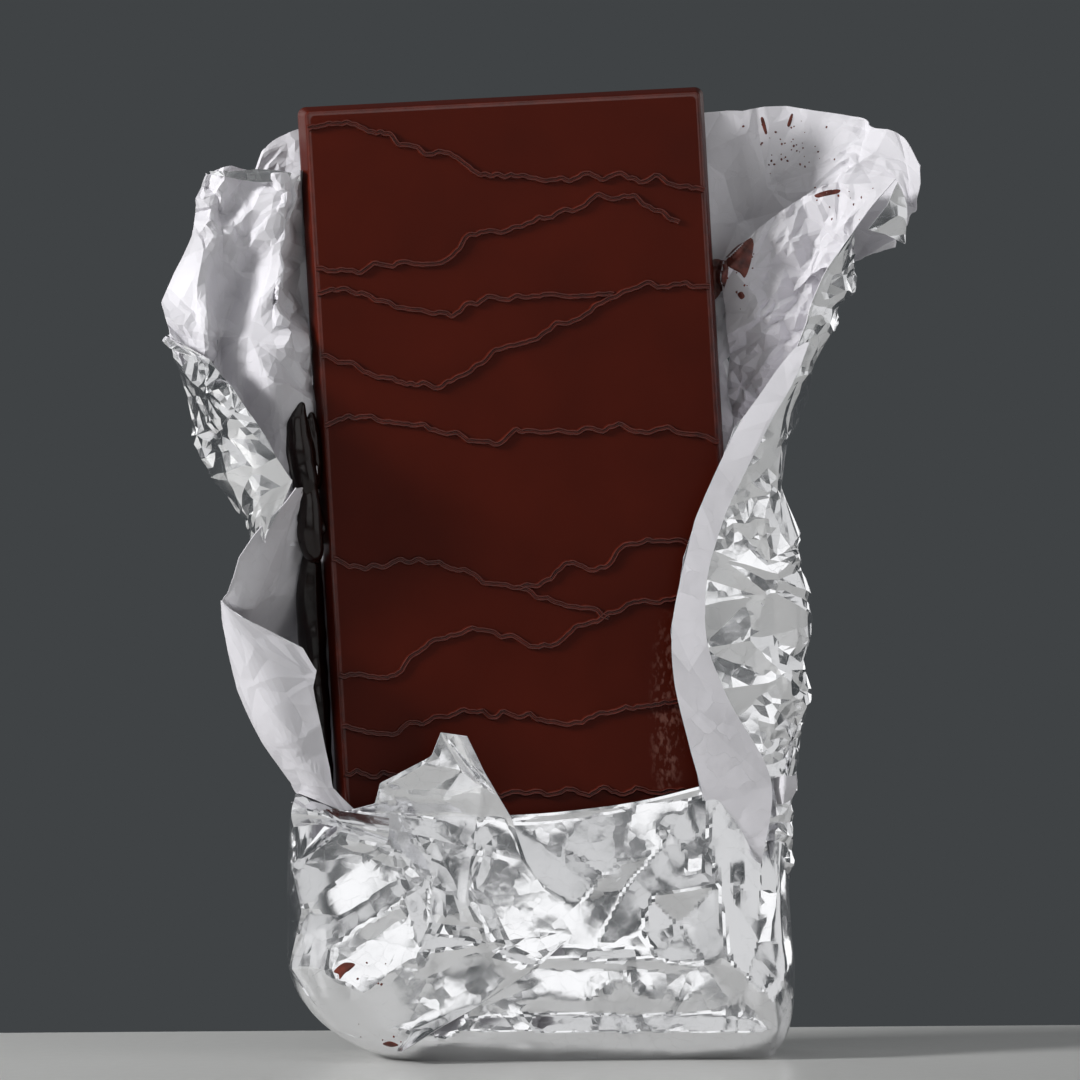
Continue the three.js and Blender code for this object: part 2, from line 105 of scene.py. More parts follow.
class FoilSettings(bpy.types.PropertyGroup):
    thickness: bpy.props.FloatProperty(
        name="Thickness", description="Foil and its paper, mm", default=0.14)
    cell: bpy.props.FloatProperty(
        name="Mesh step", description="Spacing of a sheet's points, mm", default=0.42)
    kept: bpy.props.FloatProperty(
        name="Kept facets", description="Share of the faces left when flat parts are merged",
        subtype="FACTOR", default=0.12)
    sharp: bpy.props.FloatProperty(
        name="Crease angle", description="Folds steeper than this stay sharp", subtype="ANGLE",
        default=math.radians(4.5))
    crumple: bpy.props.FloatProperty(
        name="Crumple", description="Strength of the crumple, 1 for a freshly opened wrapper", default=1.0)
    silver: bpy.props.StringProperty(
        name="Silver", description="Bright side, sRGB hex", default="F3F3F5")
    paper: bpy.props.StringProperty(
        name="Paper", description="Paper side, sRGB hex", default="DEDCE1")


class StageSettings(bpy.types.PropertyGroup):
    distance: bpy.props.FloatProperty(
        name="Camera distance", description="Camera to bar", unit="LENGTH", default=1.0)
    azimuth: bpy.props.FloatProperty(
        name="Azimuth", description="Camera's turn round the bar", subtype="ANGLE",
        default=math.radians(-5))
    backdrop: bpy.props.StringProperty(
        name="Backdrop", description="Backdrop colour, sRGB hex", default="404345")
    floor: bpy.props.StringProperty(
        name="Floor", description="Floor colour, sRGB hex", default="D0D0CE")


def settings(name):
    """One of the groups of settings: bar, foil or stage."""
    return getattr(bpy.context.scene, "chocolate_" + name)


def linear(code):
    """An sRGB hex colour as linear RGBA."""
    channels = [int(code[i : i + 2], 16) / 255 for i in (0, 2, 4)]
    return tuple(c / 12.92 if c <= 0.04045 else ((c + 0.055) / 1.055) ** 2.4 for c in channels) + (1.0,)


def add_node(tree, kind, inputs=None, **values):
    """Adds a node, sets its values, and fills its inputs with numbers or links them to sockets."""
    node = tree.nodes.new(kind)
    for name, value in values.items():
        setattr(node, name, value)
    for name, value in (inputs or {}).items():
        if isinstance(value, bpy.types.NodeSocket):
            tree.links.new(value, node.inputs[name])
        else:
            node.inputs[name].default_value = value
    return node


def new_material(name):
    """An empty material with its output, Principled shader and Object coordinates."""
    material = bpy.data.materials.new(name)
    material.use_nodes = True
    tree = material.node_tree
    tree.nodes.clear()
    output = add_node(tree, "ShaderNodeOutputMaterial")
    shader = add_node(tree, "ShaderNodeBsdfPrincipled")
    tree.links.new(shader.outputs["BSDF"], output.inputs["Surface"])
    place = add_node(tree, "ShaderNodeTexCoord").outputs["Object"]
    return material, tree, shader, place


def ramp(tree, factor, stops):
    """A colour ramp of [position, colour or grey level] stops."""
    node = add_node(tree, "ShaderNodeValToRGB", {"Fac": factor})
    while len(node.color_ramp.elements) < len(stops):
        node.color_ramp.elements.new(0.5)
    for element, (position, colour) in zip(node.color_ramp.elements, stops):
        element.position = position
        element.color = colour if isinstance(colour, tuple) else (colour, colour, colour, 1)
    return node.outputs["Color"]


def bump(tree, height, strength, distance_mm, normal=None):
    """A normal bent by a height, on top of another normal where one is given."""
    inputs = {"Height": height, "Strength": strength, "Distance": distance_mm * MM}
    if normal is not None:
        inputs["Normal"] = normal
    return add_node(tree, "ShaderNodeBump", inputs).outputs["Normal"]


def mixed(tree, factor, first, second):
    """A colour between two, each a socket or a colour."""
    node = tree.nodes.new("ShaderNodeMix")
    node.data_type = "RGBA"
    for socket, value in zip((node.inputs[0], node.inputs[6], node.inputs[7]), (factor, first, second)):
        if isinstance(value, bpy.types.NodeSocket):
            tree.links.new(value, socket)
        else:
            socket.default_value = value
    return node.outputs[2]


def near(tree, place, centre_mm, size_mm):
    """1 at a place on the piece, falling to 0 at the given distances from it."""
    scale = tuple(1 / (s * MM) for s in size_mm)
    offset = tuple(-c * MM * k for c, k in zip(centre_mm, scale))
    moved = add_node(tree, "ShaderNodeMapping", {"Vector": place, "Location": offset, "Scale": scale})
    ball = add_node(
        tree, "ShaderNodeTexGradient", {"Vector": moved.outputs["Vector"]}, gradient_type="SPHERICAL"
    )
    return ball.outputs["Fac"]


# In the materials, a scale of 60 gives marks about 17 mm apart, 500 about 2 mm and 1500 about 0.7 mm


def tempered_chocolate():
    """Tempered dark chocolate from a polished mould: a satin gloss with a scuffed patch and fine pits."""
    material, tree, shader, place = new_material("tempered_chocolate")
    bar = settings("bar")
    mottle = add_node(tree, "ShaderNodeTexNoise", {"Vector": place, "Scale": 60.0, "Detail": 6.0})
    upright = add_node(tree, "ShaderNodeMapping", {"Vector": place, "Scale": (1.0, 1.0, 0.55)})
    streaks = add_node(
        tree, "ShaderNodeTexNoise", {"Vector": upright.outputs["Vector"], "Scale": 1500.0, "Detail": 6.0}
    )
    base = linear(bar.colour)
    deep = tuple(c * 0.78 for c in base[:3]) + (1.0,)
    body = ramp(tree, mottle.outputs["Fac"], [(0.3, deep), (0.7, base)])
    patch = near(tree, place, SCUFF_CENTRE, SCUFF_SIZE)
    worn = ramp(tree, patch, [(0.0, 0.0), (0.5, 1.0)])
    lines = ramp(tree, streaks.outputs["Fac"], [(0.5, 0.0), (0.66, 0.75)])
    rubbed = add_node(tree, "ShaderNodeMath", {0: worn, 1: lines}, operation="MULTIPLY")
    colour = mixed(tree, rubbed.outputs["Value"], body, linear("7C5248"))
    tree.links.new(colour, shader.inputs["Base Color"])
    gloss = ramp(tree, mottle.outputs["Fac"], [(0.3, 0.34), (0.7, 0.44)])
    tree.links.new(gloss, shader.inputs["Roughness"])
    shader.inputs["IOR"].default_value = 1.46
    shader.inputs["Specular IOR Level"].default_value = 0.1
    pits = add_node(tree, "ShaderNodeTexNoise", {"Vector": place, "Scale": 1400.0, "Detail": 3.0})
    waves = add_node(tree, "ShaderNodeTexNoise", {"Vector": place, "Scale": 45.0, "Detail": 2.0})
    normal = bump(tree, waves.outputs["Fac"], 0.1, 1.0)
    tree.links.new(bump(tree, pits.outputs["Fac"], 0.1, 0.12, normal), shader.inputs["Normal"])
    return material


def seam_chocolate_painted_highlight():
    """The raised seams and the tablet's rounded front edge: polished by the mould, so glossier than the
    face, and a shade lighter than the face, which is a painted highlight along their crests and edge.
    """
    material, tree, shader, place = new_material("seam_chocolate_painted_highlight")
    mottle = add_node(tree, "ShaderNodeTexNoise", {"Vector": place, "Scale": 500.0, "Detail": 4.0})
    # A shade lighter than the face: painted highlight on the crests and the edge.
    colour = ramp(tree, mottle.outputs["Fac"], [(0.3, linear("42140B")), (0.7, linear("5A2015"))])
    tree.links.new(colour, shader.inputs["Base Color"])
    shader.inputs["Roughness"].default_value = 0.25
    shader.inputs["Specular IOR Level"].default_value = 0.5
    return material


def melted_chocolate_and_painted_shade():
    """Chocolate that has melted and set again, darker and glossier than the moulded face; it also colours
    a dark film beside the ear that is painted shade.
    """
    material, tree, shader, place = new_material("melted_chocolate_and_painted_shade")
    mottle = add_node(tree, "ShaderNodeTexNoise", {"Vector": place, "Scale": 240.0, "Detail": 4.0})
    # Near black: the drips' own colour, and painted shade where the last chain fills the pocket beside the
    # ear.
    colour = ramp(tree, mottle.outputs["Fac"], [(0.3, linear("0E0504")), (0.75, linear("1C0B07"))])
    tree.links.new(colour, shader.inputs["Base Color"])
    shader.inputs["Roughness"].default_value = 0.2
    shader.inputs["Specular IOR Level"].default_value = 0.35
    tree.links.new(bump(tree, mottle.outputs["Fac"], 0.12, 0.6), shader.inputs["Normal"])
    return material


def smeared_chocolate():
    """Thin smears of chocolate: red-brown, and half dull where they have dried."""
    material, tree, shader, place = new_material("smeared_chocolate")
    mottle = add_node(tree, "ShaderNodeTexNoise", {"Vector": place, "Scale": 600.0, "Detail": 4.0})
    colour = ramp(tree, mottle.outputs["Fac"], [(0.3, linear("3A140C")), (0.75, linear("7A3424"))])
    tree.links.new(colour, shader.inputs["Base Color"])
    shader.inputs["Roughness"].default_value = 0.42
    return material


def fine_facets(tree, place, size_mm, tilt):
    """A bump of small flat facets in patches, each tilted its own way, as fine creases leave in foil."""
    wander = add_node(tree, "ShaderNodeTexNoise", {"Vector": place, "Scale": 500.0, "Detail": 1.0})
    bent = add_node(
        tree, "ShaderNodeVectorMath", {0: wander.outputs["Color"], "Scale": 0.5 * size_mm * MM},
        operation="SCALE",
    )
    shifted = add_node(
        tree, "ShaderNodeVectorMath", {0: place, 1: bent.outputs["Vector"]}, operation="ADD"
    ).outputs["Vector"]
    cells = add_node(tree, "ShaderNodeTexVoronoi", {"Vector": shifted, "Scale": 1 / (size_mm * MM)})
    way = add_node(
        tree, "ShaderNodeVectorMath", {0: cells.outputs["Color"], 1: (0.5, 0.5, 0.5)},
        operation="SUBTRACT",
    )
    away = add_node(
        tree, "ShaderNodeVectorMath", {0: shifted, 1: cells.outputs["Position"]}, operation="SUBTRACT"
    )
    rise = add_node(
        tree, "ShaderNodeVectorMath", {0: way.outputs["Vector"], 1: away.outputs["Vector"]},
        operation="DOT_PRODUCT",
    )
    spread = add_node(tree, "ShaderNodeTexNoise", {"Vector": place, "Scale": 75.0, "Detail": 1.0})
    patch = ramp(tree, spread.outputs["Fac"], [(0.42, 0.15), (0.62, 1.0)])
    return bump(tree, rise.outputs["Value"], patch, tilt / MM)


def bright_foil():
    """Rolled aluminium foil, bright side: a mirror blurred by fine rolling lines and tiny creases."""
    material, tree, shader, place = new_material("bright_foil")
    haze = add_node(tree, "ShaderNodeTexNoise", {"Vector": place, "Scale": 70.0, "Detail": 4.0})
    shader.inputs["Base Color"].default_value = linear(settings("foil").silver)
    shader.inputs["Metallic"].default_value = 1.0
    rough = ramp(tree, haze.outputs["Fac"], [(0.35, 0.13), (0.7, 0.27)])
    tree.links.new(rough, shader.inputs["Roughness"])
    tree.links.new(fine_facets(tree, place, 2.6, 0.14), shader.inputs["Normal"])
    return material


def foil_paper():
    """White glazed paper laminated to the foil: soft sheen, with the foil's grey showing faintly."""
    material, tree, shader, place = new_material("foil_paper")
    cloud = add_node(tree, "ShaderNodeTexNoise", {"Vector": place, "Scale": 55.0, "Detail": 5.0})
    base = linear(settings("foil").paper)
    grey = tuple(c * 0.86 for c in base[:3]) + (1.0,)
    colour = ramp(tree, cloud.outputs["Fac"], [(0.35, grey), (0.65, base)])
    tree.links.new(colour, shader.inputs["Base Color"])
    shader.inputs["Roughness"].default_value = 0.48
    shader.inputs["IOR"].default_value = 1.5
    fibre = add_node(tree, "ShaderNodeTexNoise", {"Vector": place, "Scale": 900.0, "Detail": 4.0})
    soft = fine_facets(tree, place, 3.2, 0.16)
    tree.links.new(bump(tree, fibre.outputs["Fac"], 0.08, 0.1, soft), shader.inputs["Normal"])
    return material


def stage_surface():
    """A plain pale matt table top."""
    material, tree, shader, place = new_material("stage_surface")
    grain = add_node(tree, "ShaderNodeTexNoise", {"Vector": place, "Scale": 400.0, "Detail": 2.0})
    shader.inputs["Base Color"].default_value = linear(settings("stage").floor)
    rough = ramp(tree, grain.outputs["Fac"], [(0.3, 0.3), (0.7, 0.36)])
    tree.links.new(rough, shader.inputs["Roughness"])
    return material


def material_named(name, maker):
    """The material of that name, made when it is first asked for."""
    return bpy.data.materials.get(name) or maker()


def mesh_object(name, vertices, faces, materials, faces_of_second=None):
    """A smooth-shaded object at the origin from millimetre points."""
    mesh = bpy.data.meshes.new(name)
    mesh.from_pydata((np.asarray(vertices) * MM).tolist(), [], faces)
    for material in materials:
        mesh.materials.append(material)
    if faces_of_second is not None:
        mesh.polygons.foreach_set("material_index", np.asarray(faces_of_second, dtype=np.int32))
    mesh.polygons.foreach_set("use_smooth", np.ones(len(mesh.polygons), dtype=bool))
    mesh.validate()
    mesh.update()
    obj = bpy.data.objects.new(name, mesh)
    bpy.context.scene.collection.objects.link(obj)
    return obj


def keep(obj, node):
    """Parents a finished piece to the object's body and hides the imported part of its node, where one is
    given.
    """
    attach(obj, "root")
    if node:
        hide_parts(node)


def to_bar(points):
    """From the bar's own upright frame to where it leans."""
    lean = settings("bar").lean
    x, y, z = points[..., 0], points[..., 1], points[..., 2]
    across = x * math.cos(lean) - z * math.sin(lean)
    up = x * math.sin(lean) + z * math.cos(lean)
    return np.stack((across, y, up), -1) + BAR_CENTRE


def from_bar(points):
    """From the object's frame to the bar's own upright frame."""
    lean = settings("bar").lean
    x, y, z = np.moveaxis(points - BAR_CENTRE, -1, 0)
    across = x * math.cos(lean) + z * math.sin(lean)
    up = -x * math.sin(lean) + z * math.cos(lean)
    return np.stack((across, y, up), -1)


def catmull(points, count, closed=False):
    """Points on a uniform Catmull-Rom spline along the first axis of an array."""
    points = np.asarray(points, dtype=float)
    n = len(points)
    if closed:
        at = np.arange(count) / count * n
        pick = lambda i: points[i % n]
    else:
        at = np.linspace(0, n - 1, count)
        before = 2 * points[0] - points[1]
        after = 2 * points[-1] - points[-2]
        padded = np.concatenate((before[None], points, after[None]))
        pick = lambda i: padded[np.clip(i + 1, 0, n + 1)]
    i = np.floor(at).astype(int)
    if not closed:
        i = np.minimum(i, n - 2)
    t = (at - i).reshape((-1,) + (1,) * (points.ndim - 1))
    p0, p1, p2, p3 = pick(i - 1), pick(i), pick(i + 1), pick(i + 2)
    square, cube = 2 * p0 - 5 * p1 + 4 * p2 - p3, 3 * p1 - p0 - 3 * p2 + p3
    return 0.5 * (2 * p1 + (p2 - p0) * t + square * t**2 + cube * t**3)


def polyline(points, count):
    """Points spread evenly over the knots of a polyline, so that its corners stay sharp."""
    points = np.asarray(points, dtype=float)
    at = np.linspace(0, len(points) - 1, count)
    return np.stack([np.interp(at, np.arange(len(points)), column) for column in points.T], -1)


def sheet_grid(folds, across, up, straight=False):
    """The middle surface of a sheet, from its fold lines: rows go up and columns across."""
    lines = np.stack([(polyline if straight else catmull)(fold, up) for fold in folds])
    return np.moveaxis(catmull(lines, across), 0, 1)


def grid_faces(grid, closed=False):
    """Quads of point numbers over a grid, joined round when it is closed."""
    rows, columns = grid.shape[:2]
    ids = np.arange(rows * columns).reshape(rows, columns)
    if closed:
        ids = np.concatenate((ids, ids[:, :1]), 1)
    return np.stack((ids[:-1, :-1], ids[:-1, 1:], ids[1:, 1:], ids[1:, :-1]), -1).reshape(-1, 4)


def grid_normals(grid, closed=False):
    """Unit normals at the points of a grid."""
    if closed:
        across = np.roll(grid, -1, 1) - np.roll(grid, 1, 1)
    else:
        across = np.gradient(grid, axis=1)
    up = np.gradient(grid, axis=0)
    normals = np.cross(across, up)
    return normals / np.maximum(np.linalg.norm(normals, axis=-1, keepdims=True), 1e-9)


def facets(shape, step, spacing, seed):
    """A field of flat facets with random heights from -1 to 1, over a grid of points step mm apart."""
    rows, columns = shape
    width, height = columns * step, rows * step
    rng = random.Random(seed)
    nx, ny = int(width / spacing) + 4, int(height / spacing) + 4
    sites, levels = [], []
    for j in range(ny):
        for i in range(nx):
            x = (i - 1.5 + 0.5 * (j % 2) + rng.uniform(-0.42, 0.42)) * spacing
            y = (j - 1.5 + rng.uniform(-0.42, 0.42)) * spacing
            sites.append((x, y))
            levels.append(rng.uniform(-1, 1))
    corners, _, triangles, *_ = delaunay_2d_cdt([Vector(s) for s in sites], [], [], 0, 1e-6)
    field = np.zeros(shape)
    heights = np.array(levels)
    places = np.array([(c.x, c.y) for c in corners])
    for a, b, c in triangles:
        pa, pb, pc = places[a], places[b], places[c]
        low = np.floor(np.minimum(np.minimum(pa, pb), pc) / step).astype(int)
        high = np.ceil(np.maximum(np.maximum(pa, pb), pc) / step).astype(int)
        x0, y0 = max(low[0], 0), max(low[1], 0)
        x1, y1 = min(high[0] + 1, columns), min(high[1] + 1, rows)
        if x0 >= x1 or y0 >= y1:
            continue
        gx, gy = np.meshgrid(np.arange(x0, x1) * step, np.arange(y0, y1) * step)
        det = (pb[1] - pc[1]) * (pa[0] - pc[0]) + (pc[0] - pb[0]) * (pa[1] - pc[1])
        wa = ((pb[1] - pc[1]) * (gx - pc[0]) + (pc[0] - pb[0]) * (gy - pc[1])) / det
        wb = ((pc[1] - pa[1]) * (gx - pc[0]) + (pa[0] - pc[0]) * (gy - pc[1])) / det
        wc = 1 - wa - wb
        inside = (wa >= -1e-6) & (wb >= -1e-6) & (wc >= -1e-6)
        value = wa * heights[a] + wb * heights[b] + wc * heights[c]
        field[y0:y1, x0:x1][inside] = value[inside]
    return field


def blur(field, times):
    """A field smoothed a number of times over its four neighbours."""
    for _ in range(times):
        padded = np.pad(field, 1, mode="edge")
        beside = padded[1:-1, :-2] + padded[1:-1, 2:]
        field = (beside + padded[:-2, 1:-1] + padded[2:, 1:-1] + 2 * field) / 6
    return field


def lengths(grid):
    """Distances across and up a sheet, measured along it, for every one of its points."""
    across = np.linalg.norm(np.diff(grid, axis=1), axis=-1)
    up = np.linalg.norm(np.diff(grid, axis=0), axis=-1)
    u = np.pad(np.cumsum(across, 1), ((0, 0), (1, 0)))
    v = np.pad(np.cumsum(up, 0), ((1, 0), (0, 0)))
    return u - u.mean(1, keepdims=True), np.broadcast_to(v.mean(1, keepdims=True), u.shape)


def folded(u, v, seed, packet, slope):
    """Height of a sheet that was folded along random lines into a small packet and pulled open again."""
    rng = random.Random(seed)
    x, y = u, v
    angle = rng.uniform(0, TAU)
    for _ in range(40):
        angle += GOLDEN_ANGLE + rng.uniform(-0.6, 0.6)
        along = x * math.cos(angle) + y * math.sin(angle)
        low, high = along.min(), along.max()
        if high - low < packet:
            continue
        over = np.maximum(along - low - (high - low) * rng.uniform(0.35, 0.75), 0)
        x = x - 2 * over * math.cos(angle)
        y = y - 2 * over * math.sin(angle)
    height = x * math.cos(angle) + y * math.sin(angle)
    return slope * (height - height.mean())


def crumple_field(grid, step, seed, slopes):
    """Depth of the crumple in millimetres, from the slopes of its large, middle and small folds."""
    u, v = lengths(grid)
    patches = np.clip(blur(facets(u.shape, step, PATCH_SIZE, seed + 3), 2) * 2.4 + 0.2, 0, 1.4)
    large, middle, small = [
        folded(u, v, seed + i, packet, slope) for i, (packet, slope) in enumerate(zip(PACKETS, slopes))
    ]
    return (large + middle + small * patches) * settings("foil").crumple


def creased(grid, creases):
    """Pulls a sheet towards -Y along straight creases, each (x, height, x, height, depth, width)."""
    x, z = grid[..., 0], grid[..., 2]
    pull = np.zeros(x.shape)
    for x0, z0, x1, z1, depth, width in creases:
        run = np.array((x1 - x0, z1 - z0))
        share = np.clip(((x - x0) * run[0] + (z - z0) * run[1]) / run.dot(run), 0, 1)
        away = np.hypot(x - x0 - share * run[0], z - z0 - share * run[1])
        ends = np.clip(np.minimum(share, 1 - share) * 4 + 0.25, 0, 1)
        pull += depth * ends * np.clip(1 - away / width, 0, 1)
    grid[..., 1] -= blur(pull, 3)
    return grid


def planes(grid, sites):
    """Pulls a sheet towards -Y in flat triangles between sites, each (x, height, depth) in mm."""
    far = [(-200, -100, 0), (200, -100, 0), (200, 250, 0), (-200, 250, 0)]
    sites = list(sites) + far
    corners, _, triangles, *_ = delaunay_2d_cdt([Vector(s[:2]) for s in sites], [], [], 0, 1e-6)
    depths = [min(sites, key=lambda s: (s[0] - c.x) ** 2 + (s[1] - c.y) ** 2)[2] for c in corners]
    x, z = grid[..., 0], grid[..., 2]
    pull = np.zeros(x.shape)
    for ids in triangles:
        (ax, az), (bx, bz), (cx, cz) = (corners[i] for i in ids)
        area = (bz - cz) * (ax - cx) + (cx - bx) * (az - cz)
        wa = ((bz - cz) * (x - cx) + (cx - bx) * (z - cz)) / area
        wb = ((cz - az) * (x - cx) + (ax - cx) * (z - cz)) / area
        inside = (wa >= -1e-6) & (wb >= -1e-6) & (wa + wb <= 1 + 1e-6)
        value = wa * depths[ids[0]] + wb * depths[ids[1]] + (1 - wa - wb) * depths[ids[2]]
        pull[inside] = value[inside]
    grid[..., 1] -= blur(pull, 2)
    return grid


def ragged(grid, step, seed, amount):
    """Shifts a sheet's points along it in flat patches, so that its edges run in short straight parts."""
    across = np.gradient(grid, axis=1)
    up = np.gradient(grid, axis=0)
    for direction, turn in ((across, 0), (up, 1)):
        unit = direction / np.maximum(np.linalg.norm(direction, axis=-1, keepdims=True), 1e-9)
        shift = facets(grid.shape[:2], step, JAG_LENGTH, seed + 50 + turn) * amount
        grid = grid + unit * shift[..., None]
    return grid


def clear_of_bar(grid):
    """Moves points that lie inside the bar, or too near it, out of its way."""
    bar = settings("bar")
    local = from_bar(grid)
    half = np.array((bar.width / 2, bar.thickness / 2, bar.length / 2))
    reach = half + FOIL_GAP + np.array((0, bar.ridge_height, 0))
    inside = reach - np.abs(local)
    hit = inside.min(-1) > 0
    sideways = hit & (inside[..., 1] > inside[..., 0] * 1.5)
    through = hit & ~sideways
    local[..., 1] = np.where(through, np.where(local[..., 1] < 0, -1, 1) * reach[1], local[..., 1])
    local[..., 0] = np.where(sideways, np.sign(local[..., 0]) * reach[0], local[..., 0])
    return to_bar(local)


def foil_piece(name, sheets):
    """One object from several sheets, each given as its grid, whether it closes, and its bright side."""
    foil = settings("foil")
    vertices, faces = [], []
    for grid, closed, bright_side in sheets:
        quads = grid_faces(grid, closed) + sum(len(v) for v in vertices)
        faces.extend(quads[:, ::bright_side].tolist())
        vertices.append(grid.reshape(-1, 3))
    materials = [material_named("bright_foil", bright_foil), material_named("foil_paper", foil_paper)]
    source = mesh_object(name + "_sheets", np.concatenate(vertices), faces, materials)
    merge = source.modifiers.new("facets", "DECIMATE")
    merge.ratio = foil.kept
    body = source.modifiers.new("body", "SOLIDIFY")
    body.thickness = foil.thickness * MM
    body.offset = 0
    body.material_offset = 1
    body.material_offset_rim = 1
    obj = plain_copy(source, name)
    obj.data.set_sharp_from_angle(angle=foil.sharp)
    keep(obj, "foil_wrapper")


def crumpled(folds, seed, bright_side, slopes, jag=0.8, creases=(), cell=None, straight=False, calm=1.0):
    """A sheet through its fold lines, crumpled and clear of the bar.

    slopes are those of its large, middle and small folds, jag is how far its edges wander in millimetres,
    and calm is the share of the crumple that is left at its last fold line.
    """
    step = cell or settings("foil").cell
    rough = sheet_grid(folds, 24, 24)
    wide = np.linalg.norm(np.diff(rough, axis=1), axis=-1).sum(1).max()
    tall = np.linalg.norm(np.diff(rough, axis=0), axis=-1).sum(0).max()
    grid = sheet_grid(folds, int(wide / step) + 2, int(tall / step) + 2, straight=straight)
    field = crumple_field(grid, step, seed, slopes)
    field = field * np.clip(np.linspace(5, 0, field.shape[1]), calm, 1)
    grid = ragged(grid + grid_normals(grid) * field[..., None], step, seed, jag)
    return clear_of_bar(creased(grid, creases)), False, bright_side


# Fold lines of the opened sheets, each from the bottom up as (x, y, height) in millimetres
BACK_PANEL = [
    [(-33, 9, 18), (-37.6, 9.5, 60), (-41.6, 9.5, 95), (-48, 10, 135), (-49.8, 9.5, 151)],
    [(-29, 7.8, 18), (-31, 7.8, 60), (-35, 7.8, 98), (-40, 7.8, 138), (-41.5, 8.4, 158.4)],
    [(0, 8.4, 18), (-1, 7.8, 60), (-3, 7.8, 100), (-5, 7.8, 138), (-7, 8.6, 160.5)],
    [(35, 7.8, 18), (34, 7.8, 60), (30, 7.8, 100), (25, 9.4, 138), (22, 10.4, 162.2)],
    [(40, 9, 18), (39.5, 9, 60), (36, 9.6, 100), (31, 12, 134), (28, 13, 162.6)],
]
RIGHT_FLARE = [
    [(24, 8.4, 114), (23, 8.6, 140), (22, 8.8, 161.6)],
    [(31, 9, 118), (30, 10.4, 141), (29.4, 11, 162.6)],
    [(36, 9.5, 122), (37, 12.5, 143), (36, 13, 163.2)],
    [(42, 8, 128), (45, 10.5, 146), (45, 11.5, 162.8)],
    [(47, 4, 133), (51, 6, 150), (55.8, 7, 161.2)],
    [(49, 2.5, 135), (53.5, 2.6, 150), (57.5, 3.6, 159.4)],
    [(55, -2, 137), (59.5, -2, 149), (62, -1, 158.2)],
    [(59.5, -6, 139), (63, -6, 144.5), (64.9, -4, 152.6)],
]
RIGHT_WING = [
    [(35.5, 8.6, 26), (36.5, 8.6, 46), (36, 8.6, 64), (35.5, 8.6, 78), (35, 8.4, 92), (34, 8.2, 106),
     (33, 8, 118), (32.5, 7.6, 127), (32, 7, 136)],
    [(39, 7.8, 26), (40.6, 8, 46), (41, 8, 64), (40, 7.8, 78), (39.4, 7.4, 92), (38.8, 7, 106),
     (40, 6.4, 118), (41.5, 5.4, 130), (40.3, 3.6, 143.9)],
    [(41, 5, 26), (44, 4.4, 46), (45.2, 4, 64), (44, 4, 78), (43, 3.6, 92), (42.8, 3, 107),
     (45.6, 2.6, 118.5), (51.6, 1.6, 131), (48.5, -0.6, 148.6)],
    [(40.5, -2, 27), (43.2, -2.4, 46), (44.2, -2.5, 62), (43, -3, 77), (41.8, -3.5, 90),
     (41.6, -4.5, 107), (44.8, -4.6, 119), (51.6, -4, 133), (53.4, -4.4, 149.2)],
    [(32, -3.4, 32), (27, -3.6, 46), (22.6, -4.6, 64), (22.3, -4.8, 77), (25.6, -5.2, 90),
     (32, -6.5, 106), (42, -7.6, 120), (48.2, -8.2, 135.5), (60.3, -9, 149.7)],
]
RIGHT_HEM = [
    [(32, -4, 32), (27, -4.8, 46), (22.4, -5.8, 64), (22.1, -6, 77), (25.4, -6.4, 90),
     (31.8, -7.6, 106), (38, -8.2, 115), (42.6, -8.4, 121)],
    [(37, -4.4, 32), (38.5, -6, 47), (31, -6.6, 62), (27.2, -6.6, 75), (29.5, -7, 88),
     (36.5, -8.4, 105), (42.4, -9, 115), (44.8, -8.8, 122)],
]
TIP_FOLD = [
    [(54.4, -8.6, 141.2), (57.5, -9.2, 145.5), (60.2, -9.6, 149.3)],
    [(60.9, -8.2, 138.6), (61.6, -8.4, 142.5), (61.8, -8.8, 146.2)],
]
LEFT_WING = [
    [(-47.6, -2.5, 88), (-56.6, -0.4, 105.5), (-63.4, 2, 122), (-63.8, 3, 131), (-59.6, 2.6, 142),
     (-58, 2.4, 151)],
    [(-47, -0.4, 88), (-53.6, 0.2, 104), (-57.6, 1.4, 116), (-57.6, 2, 130), (-55.6, 2, 141),
     (-54.4, 2, 151)],
    [(-46, 2, 88), (-51.5, 2.4, 102), (-55.2, 4.2, 116), (-54.4, 4.4, 128), (-50.8, 4.2, 138),
     (-49, 3.4, 151)],
    [(-43, 0, 88), (-44.6, -0.6, 101), (-46, -0.8, 115), (-45, -0.6, 128), (-44, 0, 140),
     (-43.5, 1.4, 151)],
    [(-36, 6, 88), (-37, 5, 101), (-38, 5, 115), (-38.5, 5, 128), (-38.9, 5.4, 140),
     (-38.8, 5.8, 151.5)],
]
DOG_EAR = [
    [(-48.6, -4, 87.8), (-52.4, -4, 93), (-56.9, -2.6, 101), (-59.7, -1.6, 106), (-60, -0.6, 112.7),
     (-62.7, 0.6, 118.8), (-64.6, 2, 122.4)],
    [(-48.4, -8, 88), (-49, -10, 95), (-51.6, -9.6, 102.6), (-54, -8.6, 107.6), (-55.4, -7, 112.6),
     (-59, -3.6, 118.6), (-64.4, 0, 122.2)],
    [(-48.2, -9, 88.2), (-43.4, -12, 97.9), (-45.6, -11.6, 102.6), (-48.8, -10, 107.9),
     (-52.2, -8, 113.2), (-57.2, -4.6, 118.8), (-64.2, -0.4, 122)],
]
